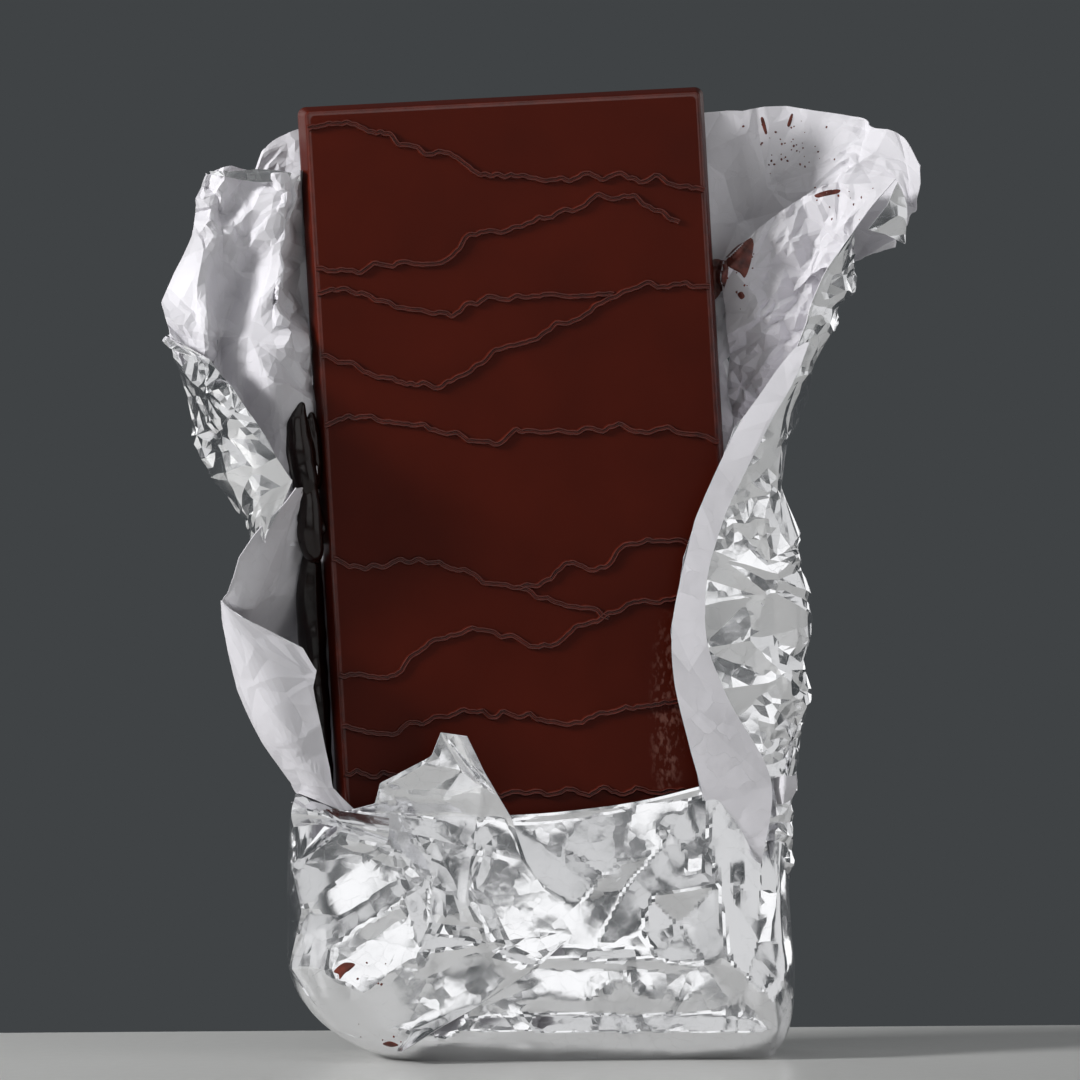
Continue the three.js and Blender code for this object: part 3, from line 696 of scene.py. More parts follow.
LEFT_EAR = [
    [(-40.5, -0.6, 34), (-42.4, -1.4, 46), (-46.8, -3, 54), (-51.4, -4.2, 63), (-54, -5.6, 72),
     (-55, -7, 78.2), (-49.4, -9, 88), (-42.6, -10.6, 97.4)],
    [(-38, 6, 34), (-40.4, 7.6, 46), (-43.6, 9, 55), (-46.4, 9, 64), (-49.6, 3, 71.5),
     (-50.5, -5, 76.5), (-46.6, -6.4, 88), (-42, -7, 96.8)],
    [(-36, 11, 34), (-37, 12, 46), (-39, 13, 55), (-41, 13, 64), (-43.6, 10.6, 72), (-45, 1, 79.5),
     (-43.4, -2, 88), (-41.4, -2, 96.2)],
    [(-33, 11.6, 34), (-33, 12.6, 46), (-33, 13, 55), (-33, 13, 64), (-34, 12.6, 74), (-37.6, 10.4, 82),
     (-38.6, 6, 88), (-40.6, 3, 96)],
]
EAR_FRONT = [
    [(-42.4, -1.5, 44.8), (-43, -2.2, 46.8), (-47.8, -4, 53.4), (-52.2, -5, 62.8), (-54.3, -6, 69.6),
     (-55.1, -7, 74.8), (-55, -7.6, 78)],
    [(-38, -3.6, 43.5), (-39.4, -5, 46.6), (-43.4, -6.6, 54), (-46.4, -7.6, 63), (-48.6, -8, 68.6),
     (-51.6, -8, 73.2), (-54.2, -7.8, 77.2)],
    [(-31.6, -3.6, 41.8), (-36, -5, 46.3), (-38.2, -6.4, 56.8), (-39.6, -6.6, 63.2),
     (-39.3, -6.4, 66.2), (-41.3, -7, 70), (-51.6, -8.2, 75.4)],
]
EAR_CUFF = [
    [(-42.6, -5, 40), (-37, -6.4, 39.6), (-33.6, -7, 38.4), (-26.8, -7.4, 36.2)],
    [(-42.8, -6, 42.4), (-38, -8.4, 41.6), (-33.6, -9.2, 40.4), (-26.6, -9.4, 38.6)],
    [(-42.4, -4.4, 44.6), (-38, -6, 43.6), (-33.6, -6.6, 42.3), (-26.6, -7, 40.6)],
]
TOP_SLIVER = [
    [(-56.4, 1, 150.3), (-56.6, 0.8, 150.7)],
    [(-52, 1.6, 149.8), (-51.6, 1.2, 151)],
    [(-47.6, 1.6, 149.4), (-47.8, 1.2, 151.4)],
    [(-41, 3, 150.2), (-41, 2.6, 151)],
]
ROLLED_TAB = [
    [(39.6, -3.6, 43), (39.2, -4.4, 45.4), (39.6, -3.8, 47.4)],
    [(40.8, -6, 43.2), (40.8, -6.8, 45.6), (41, -6, 48)],
    [(42.6, -4.2, 44.2), (43, -5, 46), (42.8, -4.2, 47.8)],
]

# Sharp creases pressed into the sheets, each (x, height, x, height, depth, width): above 0 stands forward
FLARE_CREASES = [(55.8, 161, 48.5, 149.4, 1.4, 4.5), (44, 152, 36, 141, -1.2, 3.5)]
LEFT_CREASES = [
    (-48.8, 138, -50.5, 134, -2, 2.5), (-50.5, 134, -54.5, 124.2, -2.4, 2.5),
    (-54.5, 124.2, -55.2, 114, -2.4, 2.5), (-51, 146.3, -55.3, 142.5, -2.4, 2.2),
    (-57.4, 132, -56.6, 112, 2.2, 2.5), (-48, 128, -43, 136, 1.6, 3), (-44, 124, -40.5, 119, 1.8, 3),
    (-58, 146, -52, 138, 1.6, 3.5), (-47, 118, -44, 108, 1.2, 3), (-62, 128, -57, 137, 1.2, 3),
]
# Corners of the flat faces of the pouch and its flap, each (x, height, depth): above 0 stands forward
POUCH_PLANES = [
    (-46, 0, 0), (-46, 20, 0), (-46, 46, 0), (46, 0, 0), (46, 20, 0), (46, 50, 0), (-25, 0, 0),
    (0, 0, 0), (20, 0, 0), (40, 0, 0), (-6, 40, 0.4), (6, 41, -0.4), (16, 43, 1.0), (26, 44.5, -0.3),
    (30, 45, 1.2), (36, 46, 0), (-5, 33, 0.8), (3, 34, -0.8), (12, 33, 1.4), (20, 36, -0.3),
    (27, 38, 2.0), (29.4, 30, 2.4), (38, 36, -1.0), (40, 28, 0.6), (5, 26, 1.2), (13.7, 29, -0.6),
    (18, 27.6, 1.6), (22.4, 23, -1.2), (16, 21.5, 1.4), (8, 19, 0.2), (-4, 17, 0.6), (4, 16.4, 0.4),
    (9, 16.8, 0.6), (14, 16, 0.4), (20, 16.4, 0.7), (27, 16, 0.5), (30.6, 20, 2.0), (36, 20, -1.0),
    (40, 14, 1.2), (-10, 10, 0.4), (-2, 9.6, 0.4), (2, 10.2, 0.6), (8, 9.6, 0.4), (14, 10, 0.6),
    (20, 9.4, 0.5), (26, 10, 0.6), (32, 9.4, 0.3), (38, 8, 1.0), (-20, 5.4, 0.6), (0, 4.8, 1.0),
    (12, 5.2, 0.6), (24, 5, 1.1), (38, 5, 0.8), (-42, 34, 0.8), (-36, 28, -0.4), (-30, 20, 0.6),
    (-38, 14, 0.8), (-33, 8, 0), (-25, 30, 0),
]
FLAP_PLANES = [
    (-35.7, 38.8, 2.6), (-19.6, 31.7, 0.2), (-41, 16.5, 1.2), (-17.8, 55.6, 0.8), (-21, 50, 1.8),
    (-14, 49, 0.2), (-19.6, 46, 0), (-11.1, 46.7, 2.0), (-11, 43.5, 2.2), (-18.5, 43.3, 0.2),
    (-12.2, 37.9, 2.4), (-4.4, 34.5, 0.4), (4.1, 22.1, 0.6), (-6, 15.4, 1.4), (-11, 20.4, 2.6),
    (-13.9, 26.6, 2.8), (-20, 22, 0), (-21.8, 18.7, 1.4), (-22.4, 7.5, 0.4), (-37, 6.9, 0.8),
    (-31.4, 12, 1.8), (-43, 33, 0), (-28, 46, 0.4), (-29, 40, 2.2), (-26.5, 36.5, 2.9), (-24, 40, 0.6),
    (-25, 2, 0.2), (-12, 10, 0.2), (-1, 17, 0.4), (-8.5, 45, 0.6), (-43.6, 25, 0.6),
]
POUCH_CREASES = [
    (11.3, 19, 16, 9, 0.9, 3), (20.7, 41, 25.3, 31.8, 1.1, 3), (27.3, 45, 28.8, 38, 0.7, 2.5),
    (28.8, 38, 29.5, 22, 0.7, 2.5), (38.9, 44, 36, 24, -1.6, 3), (-20, 5.4, 38, 4.8, 0.9, 2.4),
    (-6, 17.6, 28, 16.8, 0.6, 1.8), (-8, 8.4, 30, 8, -0.5, 2), (4, 36, 12, 30, 0.9, 2.5),
    (16, 30, 24, 22, -0.9, 3), (-42, 34, -36, 20, 1.1, 3.5), (30, 18, 40, 8, 1.2, 3),
    (-18, 2, -12, 11, 0.9, 2.4), (-5, 2, -1, 9, -0.9, 2.2), (6, 2, 9, 15, 0.6, 1.8),
    (12, 9, 17, 3, -0.8, 2.4), (19, 3, 26, 14, 0.6, 1.8), (31, 2, 34, 13, -0.9, 2.4),
    (36, 14, 40, 3, 0.9, 2.4), (-38, 22, -30, 6, 0.8, 3),
]
FLAP_CREASES = [
    (-27.5, 48, -19.1, 31.2, -1.2, 2.5), (-33.6, 38.7, -22.7, 33.8, 1.0, 2.5),
    (-22.7, 33.8, -19.1, 31.2, 1.0, 2.5), (-19.1, 31.2, -41, 17, 0.9, 3),
    (-17.6, 30.1, -18.1, 23.6, 0.8, 2.4), (-18.1, 23.6, -21.4, 15.1, 0.8, 2.4),
    (-10.1, 38.6, -13.4, 29.2, 0.8, 2.4), (-13.4, 29.2, -8.7, 18.9, 0.8, 2.4),
    (-8.7, 18.9, -3, 15.4, 0.8, 2.4),
]

# Reach of the pouch to each side, as (height, reach) in millimetres
POUCH_LEFT = [(0, -27), (2, -31), (5, -35.5), (10, -41), (18, -44), (27, -43.4), (44, -43)]
POUCH_RIGHT = [(0, 40.5), (5, 42.3), (17, 43.4), (27, 42.8), (44, 44)]
POUCH_FRONT = [
    (0, -9.4), (2, -11), (5, -11.3), (9, -10.7), (17, -10.2), (25, -8.2), (36, -4.6), (44, -2.2),
]
POUCH_BACK = [(0, 13), (4, 15.2), (12, 15.6), (25, 13), (36, 10.6), (44, 9.6)]
POUCH_RIM = [(-44, 43.5), (-30, 42), (-6, 40.6), (27, 45), (34, 48.5), (44, 49)]
POUCH_HEIGHTS = [3, 8, 15, 24, 34, 44]
POUCH_GIRTH = 228  # with POUCH_WALL, sets how many points go round the pouch and up it
POUCH_WALL = 52
POUCH_OVERLAP = 24  # columns over which the crumple's two ends are blended
POUCH_SEED = 21
POUCH_CRUMPLE = (0.06, 0.025, 0.025)  # slopes of the large, middle and small folds
FLAP_CRUMPLE = (0.04, 0.015, 0.02)

FLAP_LEFT = [(-26.5, 2), (-35.9, 5.7), (-40.6, 11.4), (-43.6, 16), (-41.5, 25.4), (-43, 33), (-36, 41.5),
             (-29, 43.5), (-28, 47), (-19.4, 51.6), (-17.8, 55.6)]
FLAP_RIGHT = [(-25, 2.2), (-19, 6), (-11.9, 9.9), (-1.2, 17), (3.9, 21.7), (0.6, 27), (-3.6, 33.9),
              (-5.9, 41), (-8.3, 45), (-10.6, 48.9), (-13.6, 55)]


def at_height(pairs, height):
    """The value at a height, or at an x, between the given pairs."""
    return float(np.interp(height, [p[0] for p in pairs], [p[1] for p in pairs]))


def pouch_ring(left, right, front, back, height):
    """Section of the pouch at a height, from the left round the front."""
    middle = (front + back) / 2
    wrap = min((right - left) / 8, 7)
    lift = lambda x: height * at_height(POUCH_RIM, x) / POUCH_HEIGHTS[-1]
    near_front, near_back = front * 0.7 + middle * 0.3, back * 0.7 + middle * 0.3
    ring = [
        (left, middle), (left + 1.6, near_front), (left + wrap, front),
        (left + (right - left) * 0.34, front), (left + (right - left) * 0.66, front),
        (right - wrap, front), (right - 1.6, near_front), (right, middle), (right - 1.6, near_back),
        (right - wrap, back), ((left + right) / 2, back), (left + wrap, back), (left + 1.6, near_back),
    ]
    return [(x, y, lift(x) if height > 1 else height) for x, y in ring]


def pouch_grid():
    """The pouch's middle surface, from the end tucked under the bar, over the base and up to the rim."""
    cell = settings("foil").cell
    around = int(POUCH_GIRTH / cell)
    mid = BAR_CENTRE[1]
    flat = settings("foil").thickness / 2
    sides = (POUCH_LEFT, POUCH_RIGHT, POUCH_FRONT, POUCH_BACK)
    foot = [at_height(side, 0) + inset for side, inset in zip(sides, (0.6, -0.6, 1.2, -1.2))]
    # From the end tucked up under the bar, out over the base: left, right, front, back and height
    tuck = [
        (-22, 35, mid - 1.5, mid + 1.5, 5), (-22, 35, mid - 1.7, mid + 1.7, 1.6),
        (-23, 36, mid - 2.2, mid + 2.2, flat), (-25, 38.5, mid - 6.5, mid + 6.2, flat), (*foot, flat),
    ]
    low = [[(x, y, section[4]) for x, y, _ in pouch_ring(*section)] for section in tuck]
    high = [pouch_ring(*(at_height(side, z) for side in sides), z) for z in POUCH_HEIGHTS]
    base = np.stack([catmull(ring, around, closed=True) for ring in low])
    base = np.concatenate([np.linspace(a, b, 8, endpoint=False) for a, b in zip(base, base[1:])])
    walls = np.stack([catmull(ring, around, closed=True) for ring in [low[-1]] + high])
    walls = catmull(walls, int(POUCH_WALL / cell))
    field = crumple_field(walls, cell, POUCH_SEED, POUCH_CRUMPLE)
    seam = np.linspace(0, 1, POUCH_OVERLAP)
    field[:, :POUCH_OVERLAP] = field[:, :POUCH_OVERLAP] * seam + field[:, -1:] * (1 - seam)
    rise = np.clip(walls[..., 2] / 5, 0, 1)
    walls = walls + grid_normals(walls, True) * (field * rise**0.7)[..., None]
    walls[..., 2] = np.maximum(walls[..., 2], flat)
    front = walls[..., 1] < mid
    faceted = creased(planes(walls.copy(), POUCH_PLANES), POUCH_CREASES)
    return clear_of_bar(np.concatenate((base, np.where(front[..., None], faceted, walls))))


def surface_tree(grid, closed):
    """A search tree over a sheet's middle surface."""
    return BVHTree.FromPolygons(grid.reshape(-1, 3).tolist(), grid_faces(grid, closed).tolist())


def flap_grid(pouch):
    """The folded end that lies over the left half of the pouch, a little in front of its wall."""
    cell = settings("foil").cell
    left, right = [polyline(edge, int(FLAP_LENGTH / cell)) for edge in (FLAP_LEFT, FLAP_RIGHT)]
    share = np.linspace(0, 1, int(FLAP_WIDTH / cell))[None, :, None]
    flat = left[:, None] * (1 - share) + right[:, None] * share
    wall = surface_tree(pouch, True)
    depth = np.zeros(flat.shape[:2])
    for j in range(flat.shape[0]):
        for i in range(flat.shape[1]):
            x, z = flat[j, i]
            hit = wall.ray_cast(Vector((x, -60, z)), Vector((0, 1, 0)))[0]
            depth[j, i] = hit.y if hit else -3.4
    rows = np.linspace(0, 1, depth.shape[0])[:, None]
    lift = 0.8 + 2.2 * rows + 3.0 * share[..., 0] ** 3
    depth = blur(depth, 90) - lift
    sheet = np.stack((flat[..., 0], depth, flat[..., 1]), -1)
    sheet[..., 1] -= np.abs(crumple_field(sheet, cell, 57, FLAP_CRUMPLE))
    return clear_of_bar(creased(planes(sheet, FLAP_PLANES), FLAP_CREASES))


# Centre lines of the ridges, as (across, up) from the middle of the bar, in millimetres
RIDGE_LINES = [
    [(-33.6, 74.5), (-25, 74.3), (-18, 70.8), (-9.5, 68.2), (-2.7, 64.4), (9.2, 62.8), (19.4, 63.4),
     (33.6, 60)],
    [(-33.6, 49.4), (-24, 50), (-11, 50.4), (-7, 54), (2, 55.7), (10.5, 57.5), (20, 59.9), (29, 54.3)],
    [(-33.6, 45.9), (-28.7, 46.2), (-21, 43.3), (-12.7, 41.3), (-5.7, 43.1), (4.6, 43.4), (17, 42.8)],
    [(-33.6, 35.2), (-28.6, 33.5), (-22.8, 30.5), (-13.5, 29.4), (-2.9, 34.5), (8.4, 38.4),
     (21.6, 43.7), (33.6, 43.4)],
    [(-33.6, 23.4), (-23.2, 23.8), (-12.3, 20.4), (-4.6, 19.5), (6.5, 19.9), (20.2, 19.5),
     (33.6, 16.8)],
    [(-33.6, 0.4), (-28, -1), (-17, -1.1), (-8.7, -4.4), (4.8, -8.9), (13, -12.4)],
    [(-2.6, -6.6), (2.4, -5.5), (6, -2.8), (11.9, -3.8), (16.4, -0.2), (22.4, 0.4), (33.6, -1.8)],
    [(-33.6, -19.6), (-25, -19.9), (-19.6, -15.7), (-9.2, -13), (2.6, -15.9), (18.4, -9.9),
     (33.6, -12)],
    [(-33.6, -28.7), (-25.6, -29.4), (-22, -28.3), (-10, -27), (3.5, -29.5), (19, -27.4),
     (33.6, -28.6)],
    [(-33.6, -36.2), (-24, -37), (-7.5, -41), (6, -41.6), (24.8, -42.6), (33.6, -41.8)],
    [(-33.6, -57), (-15, -61), (5, -58.5), (20, -62), (33.6, -60)],
]


def ridge_path(line, number):
    """Points along a ridge: smooth through its knots, with a small seeded wander."""
    count = int((line[-1][0] - line[0][0]) / 0.45)
    path = catmull(line, count)
    wander = np.array([noise.noise(Vector((x * 0.33, number * 7.3, 0))) for x in path[:, 0]])
    jitter = np.array([noise.noise(Vector((x * 0.9, number * 3.1, 9))) for x in path[:, 0]])
    path[:, 1] += 1.3 * wander + 0.45 * jitter
    return path


def ridge_tree(material):
    """Node tree: sweeps a small double-crested section along each ridge curve."""
    tree = bpy.data.node_groups.new("raised_seams", "GeometryNodeTree")
    face = tree.interface
    face.new_socket("Geometry", in_out="INPUT", socket_type="NodeSocketGeometry")
    width = face.new_socket("Width", in_out="INPUT", socket_type="NodeSocketFloat")
    height = face.new_socket("Height", in_out="INPUT", socket_type="NodeSocketFloat")
    face.new_socket("Geometry", in_out="OUTPUT", socket_type="NodeSocketGeometry")
    enter = add_node(tree, "NodeGroupInput")
    leave = add_node(tree, "NodeGroupOutput")
    section = add_node(
        tree, "GeometryNodeCurvePrimitiveLine", {"Start": (-0.5, 0, 0), "End": (0.5, 0, 0)}
    )
    finer = add_node(tree, "GeometryNodeResampleCurve", {"Curve": section.outputs["Curve"], "Count": 17})
    along = add_node(tree, "GeometryNodeSplineParameter")
    swing = add_node(
        tree, "ShaderNodeMath", {0: along.outputs["Factor"], 1: 2 * TAU}, operation="MULTIPLY"
    )
    wave = add_node(tree, "ShaderNodeMath", {0: swing.outputs["Value"]}, operation="COSINE")
    dome = add_node(
        tree, "ShaderNodeMath", {0: along.outputs["Factor"], 1: math.pi}, operation="MULTIPLY"
    )
    arch = add_node(tree, "ShaderNodeMath", {0: dome.outputs["Value"]}, operation="SINE")
    crest = add_node(tree, "ShaderNodeMath", {0: wave.outputs["Value"], 1: -0.26}, operation="MULTIPLY")
    raised = add_node(
        tree, "ShaderNodeMath", {0: arch.outputs["Value"], 1: 0.62, 2: crest.outputs["Value"]},
        operation="MULTIPLY_ADD",
    )
    lifted = add_node(
        tree, "ShaderNodeMath", {0: raised.outputs["Value"], 1: enter.outputs["Height"]},
        operation="MULTIPLY",
    )
    across = add_node(tree, "GeometryNodeInputPosition")
    wide = add_node(
        tree, "ShaderNodeVectorMath", {0: across.outputs["Position"], "Scale": enter.outputs["Width"]},
        operation="SCALE",
    )
    apart = add_node(tree, "ShaderNodeSeparateXYZ", {"Vector": wide.outputs["Vector"]})
    joined = add_node(
        tree, "ShaderNodeCombineXYZ", {"X": lifted.outputs["Value"], "Y": apart.outputs["X"]}
    )
    shaped = add_node(
        tree, "GeometryNodeSetPosition",
        {"Geometry": finer.outputs["Curve"], "Position": joined.outputs["Vector"]},
    )
    closed = add_node(
        tree, "GeometryNodeSetSplineCyclic", {"Geometry": shaped.outputs["Geometry"], "Cyclic": True}
    )
    swept = add_node(
        tree, "GeometryNodeCurveToMesh",
        {"Curve": enter.outputs["Geometry"], "Profile Curve": closed.outputs["Geometry"],
         "Fill Caps": True},
    )
    real = add_node(tree, "GeometryNodeRealizeInstances", {"Geometry": swept.outputs["Mesh"]})
    finish = add_node(
        tree, "GeometryNodeSetMaterial", {"Geometry": real.outputs["Geometry"], "Material": material}
    )
    tree.links.new(finish.outputs["Geometry"], leave.inputs["Geometry"])
    return tree, width.identifier, height.identifier


def plain_copy(obj, name):
    """The evaluated object as a plain mesh object, with the source object removed."""
    graph = bpy.context.evaluated_depsgraph_get()
    mesh = bpy.data.meshes.new_from_object(obj.evaluated_get(graph))
    bpy.data.objects.remove(obj)
    made = bpy.data.objects.new(name, mesh)
    bpy.context.scene.collection.objects.link(made)
    return made


# Melted drips down the bar's left side, and a dark film that is painted shade in the pocket beside the
# ear, as chains of (x, y, height, radius) in millimetres
DRIPS_AND_SHADE_FILM = [
    [(-41.2, 0.8, 111, 0.9), (-41.8, 0.6, 108.4, 1.8), (-41.6, 0.6, 104.5, 2.4), (-41.2, 0.8, 101, 2.6),
     (-40.6, 0.8, 98.3, 2.3), (-40, 0.8, 96.5, 1.9), (-39.8, 0.8, 93.5, 2.1), (-39.7, 0.8, 90, 2.3),
     (-39.2, 1.2, 87, 2.0), (-38.8, 1.6, 85.6, 1.4)],
    [(-39.4, 2.4, 109.4, 0.8), (-39.2, 2.4, 106, 1.5), (-39, 2.4, 102, 1.7), (-38.8, 2.4, 98, 1.4)],
    [(-38.4, 1.6, 93, 1.0), (-37.6, 1.0, 90, 0.9)],
    # Last chain: not a drip but painted shade, a dark film down the gap between the ear and the bar.
    [(-39.2, 4.4, 85, 1.6), (-39.4, 5.4, 79, 2.3), (-39, 5.8, 72, 2.5), (-38.4, 5.8, 64, 2.3),
     (-37.4, 5.2, 55, 1.7), (-36.4, 4.4, 46, 1.1)],
]
# Smears of chocolate on the foil, each an outline of (x, height) and the depth of its middle
SMEARS = [
    ([(32.3, 136.2), (36.6, 140.3), (36.9, 137.1), (35.7, 133.5), (34.7, 134.3)], 0.35),
    ([(29.6, 135.9), (32.3, 136.7), (32.7, 133.7), (31.8, 130.8), (30.1, 129.8)], 0.5),
    ([(34.4, 130.6), (35.1, 131), (35.6, 130.2), (35, 129.7)], 0.3),
    ([(39.2, 161.3), (39.7, 161.4), (40.3, 159), (39.9, 158.8)], 0.12),
    ([(44.4, 162), (44.8, 162), (44.3, 160.1), (43.8, 160.2)], 0.12),
    ([(47.4, 147.6), (49.3, 148.3), (51.4, 148.4), (51.2, 147.8), (49.4, 147.4), (47.8, 147.1)], 0.15),
    ([(-36.3, 15.7), (-34.6, 17.1), (-32.7, 16.9), (-33.6, 15.9), (-34.4, 15.4), (-35.3, 14.4),
      (-35.5, 15.2)], 0.25),
    ([(-28, 3.3), (-26.8, 3.8), (-25.4, 3.2), (-26.6, 2.8)], 0.2),
]
# Clusters of specks as (x, height, half width, half height, number)
SPECKS = [
    (44, 155.6, 5.5, 5, 42), (53, 146.6, 6, 2.6, 10), (35, 134, 3, 5, 14), (-31, 11, 7, 7, 7),
    (-27, 3.6, 3, 1.2, 5),
]
SMEARED_FOIL = ("foil_right_wing", "foil_flare", "foil_back", "foil_pouch", "foil_end_flap")


def foil_front(names):
    """A search tree over finished sheets, in millimetres."""
    vertices, faces = [], []
    for name in names:
        mesh = bpy.data.objects[name].data
        start = len(vertices)
        vertices.extend(v.co / MM for v in mesh.vertices)
        faces.extend([i + start for i in p.vertices] for p in mesh.polygons)
    return BVHTree.FromPolygons(vertices, faces)


def smear(outline, depth, foil):
    """A thin closed dome of chocolate inside an outline, laid on the foil that the front shows."""
    knots = [Vector(p) for p in catmull(outline, len(outline) * 4, closed=True)]
    rim = []
    for a, b in zip(knots, knots[1:] + knots[:1]):
        rim += [a.lerp(b, t) for t in np.arange(0, 1, SMEAR_STEP / (b - a).length)]
    spans = [np.arange(min(column), max(column), SMEAR_STEP) for column in zip(*rim)]
    inner = [Vector((x, z)) for x in spans[0] for z in spans[1]]
    points, _, triangles, *_ = delaunay_2d_cdt(rim + inner, [], [list(range(len(rim)))], 1, 1e-4)
    used = sorted({i for t in triangles for i in t})
    index = {old: new for new, old in enumerate(used)}
    front, back = [], []
    for i in used:
        x, z = points[i]
        hit = foil.ray_cast(Vector((x, -60, z)), Vector((0, 1, 0)))[0]
        y = hit.y if hit else 0.0
        edge = min((points[i] - r).length for r in rim)
        swell = depth * (1 - math.exp(-2.5 * edge)) + 0.03
        swell *= 0.75 + 0.5 * noise.noise(Vector((x * 1.7, z * 1.7, 3)))
        front.append((x, y - swell, z))
        back.append((x, y + 0.02, z))
    count = len(used)
    faces = [tuple(index[i] for i in t) for t in triangles]
    under = [tuple(i + count for i in reversed(f)) for f in faces]
    sides = {}
    for a, b, c in faces:
        for edge in ((a, b), (b, c), (c, a)):
            sides[edge] = sides.get(edge, 0) + 1
    walls = [(b, a, a + count, b + count) for a, b in sides if (b, a) not in sides]
    return front + back, faces + under + walls


def speck_tree(material):
    """Node tree: small flattened crumbs of random size and turn on every point."""
    tree = bpy.data.node_groups.new("chocolate_specks", "GeometryNodeTree")
    tree.interface.new_socket("Geometry", in_out="INPUT", socket_type="NodeSocketGeometry")
    size = tree.interface.new_socket("Size", in_out="INPUT", socket_type="NodeSocketFloat")
    tree.interface.new_socket("Geometry", in_out="OUTPUT", socket_type="NodeSocketGeometry")
    enter = add_node(tree, "NodeGroupInput")
    leave = add_node(tree, "NodeGroupOutput")
    crumb = add_node(
        tree, "GeometryNodeMeshIcoSphere", {"Radius": enter.outputs["Size"], "Subdivisions": 2}
    )
    flat = add_node(
        tree, "GeometryNodeTransform", {"Geometry": crumb.outputs["Mesh"], "Scale": (1.0, 0.4, 0.8)}
    )
    turn = add_node(
        tree, "FunctionNodeRandomValue", {0: (0, -TAU, 0), 1: (0, TAU, 0), "Seed": 4},
        data_type="FLOAT_VECTOR",
    )
    scale = add_node(tree, "FunctionNodeRandomValue", {2: 0.35, 3: 1.0, "Seed": 9}, data_type="FLOAT")
    placed = add_node(
        tree, "GeometryNodeInstanceOnPoints",
        {"Points": enter.outputs["Geometry"], "Instance": flat.outputs["Geometry"],
         "Rotation": turn.outputs[0], "Scale": scale.outputs[1]},
    )
    real = add_node(tree, "GeometryNodeRealizeInstances", {"Geometry": placed.outputs["Instances"]})
    finish = add_node(
        tree, "GeometryNodeSetMaterial", {"Geometry": real.outputs["Geometry"], "Material": material}
    )
    tree.links.new(finish.outputs["Geometry"], leave.inputs["Geometry"])
    return tree, size.identifier


class CHOCOLATE_OT_tablet(bpy.types.Operator):
    """Build the moulded tablet with its drafted sides, rounded corners and scuffed patch"""

    bl_idname = "chocolate.tablet"
    bl_label = "Tablet"

    def execute(self, context):
        bar = settings("bar")
        half = bar.thickness / 2
        # Outlines from back to face as (inset, depth): back edge, drafted side, then rounded front edge
        levels = [(0.9, half), (0.35, half), (0.08, half - 0.12), (0.0, half - 0.4)]
        levels += [
            (bar.draft * t, half - 0.4 - (bar.thickness - 0.95) * t) for t in (0.25, 0.5, 0.75, 1.0)
        ]
        front_edge = [(0.1, 0.3), (0.26, 0.12), (0.5, 0.02), (0.9, 0.0)]
        levels += [(bar.draft + inset, -half + rise) for inset, rise in front_edge]
        rings = []
        for inset, depth in levels:
            w, h = bar.width / 2 - inset, bar.length / 2 - inset
            r = max(BAR_CORNER - inset * 0.6, 0.8)
            ring = []
            for q, (sx, sz) in enumerate(((1, 1), (-1, 1), (-1, -1), (1, -1))):
                for i in range(CORNER_STEPS + 1):
                    a = (q + i / CORNER_STEPS) * math.pi / 2
                    ring.append((sx * (w - r) + r * math.cos(a), depth, sz * (h - r) + r * math.sin(a)))
            rings.append(ring)
        around = len(rings[0])
        vertices = [p for ring in rings for p in ring]
        faces = []
        bands = range(len(rings) - 1)
        for k in bands:
            for i in range(around):
                j = (i + 1) % around
                faces.append((k * around + i, k * around + j, (k + 1) * around + j, (k + 1) * around + i))
        # The rounded front edge takes the seam material: glossier, and a shade lighter, which is a painted
        # highlight along the edge.
        polished = [int(k >= len(rings) - len(front_edge)) for k in bands for _ in range(around)] + [0, 0]
        faces.append(tuple(reversed(range(around))))
        last = (len(rings) - 1) * around
        faces.append(tuple(range(last, last + around)))
        finishes = [
            material_named("tempered_chocolate", tempered_chocolate),
            material_named("seam_chocolate_painted_highlight", seam_chocolate_painted_highlight),
        ]
        obj = mesh_object("tablet", to_bar(np.array(vertices)), faces, finishes, polished)
        bm = bmesh.new()
        bm.from_mesh(obj.data)
        bmesh.ops.recalc_face_normals(bm, faces=bm.faces)
        bm.to_mesh(obj.data)
        bm.free()
        keep(obj, "chocolate_bar")
        return {"FINISHED"}


class CHOCOLATE_OT_seams(bpy.types.Operator):
    """Build the raised wavy seams across the moulded face"""

    bl_idname = "chocolate.seams"
    bl_label = "Raised seams"

    def execute(self, context):
        bar = settings("bar")
        data = bpy.data.curves.new("raised_seams", "CURVE")
        data.dimensions = "3D"
        face = -bar.thickness / 2 + 0.03
        for number, line in enumerate(RIDGE_LINES):
            path = ridge_path(line, number + 1)
            points = to_bar(np.stack((path[:, 0], np.full(len(path), face), path[:, 1]), -1)) * MM
            spline = data.splines.new("POLY")
            spline.points.add(len(points) - 1)
            ends = np.minimum(np.arange(len(points)), np.arange(len(points))[::-1])
            radii = np.clip(ends / 8 + 0.35, 0, 1)
            for point, place, radius in zip(spline.points, points, radii):
                point.co = (*place, 1)
                point.radius = radius
                point.tilt = 0
        source = bpy.data.objects.new("raised_seams_source", data)
        context.scene.collection.objects.link(source)
        tree, width, height = ridge_tree(material_named("seam_chocolate_painted_highlight", seam_chocolate_painted_highlight))
        modifier = source.modifiers.new("seams", "NODES")
        modifier.node_group = tree
        modifier[width] = bar.ridge_width * MM
        modifier[height] = bar.ridge_height * MM
        obj = plain_copy(source, "raised_seams")
        keep(obj, None)
        return {"FINISHED"}


class CHOCOLATE_OT_pouch(bpy.types.Operator):
    """Build the closed lower end of the wrapper and the folded end that lies over its left half"""

    bl_idname = "chocolate.pouch"
    bl_label = "Foil pouch"

    def execute(self, context):
        pouch = pouch_grid()
        foil_piece("foil_pouch", [(pouch, True, BRIGHT_FRONT)])
        foil_piece("foil_end_flap", [(flap_grid(pouch), False, BRIGHT_FRONT)])
        return {"FINISHED"}


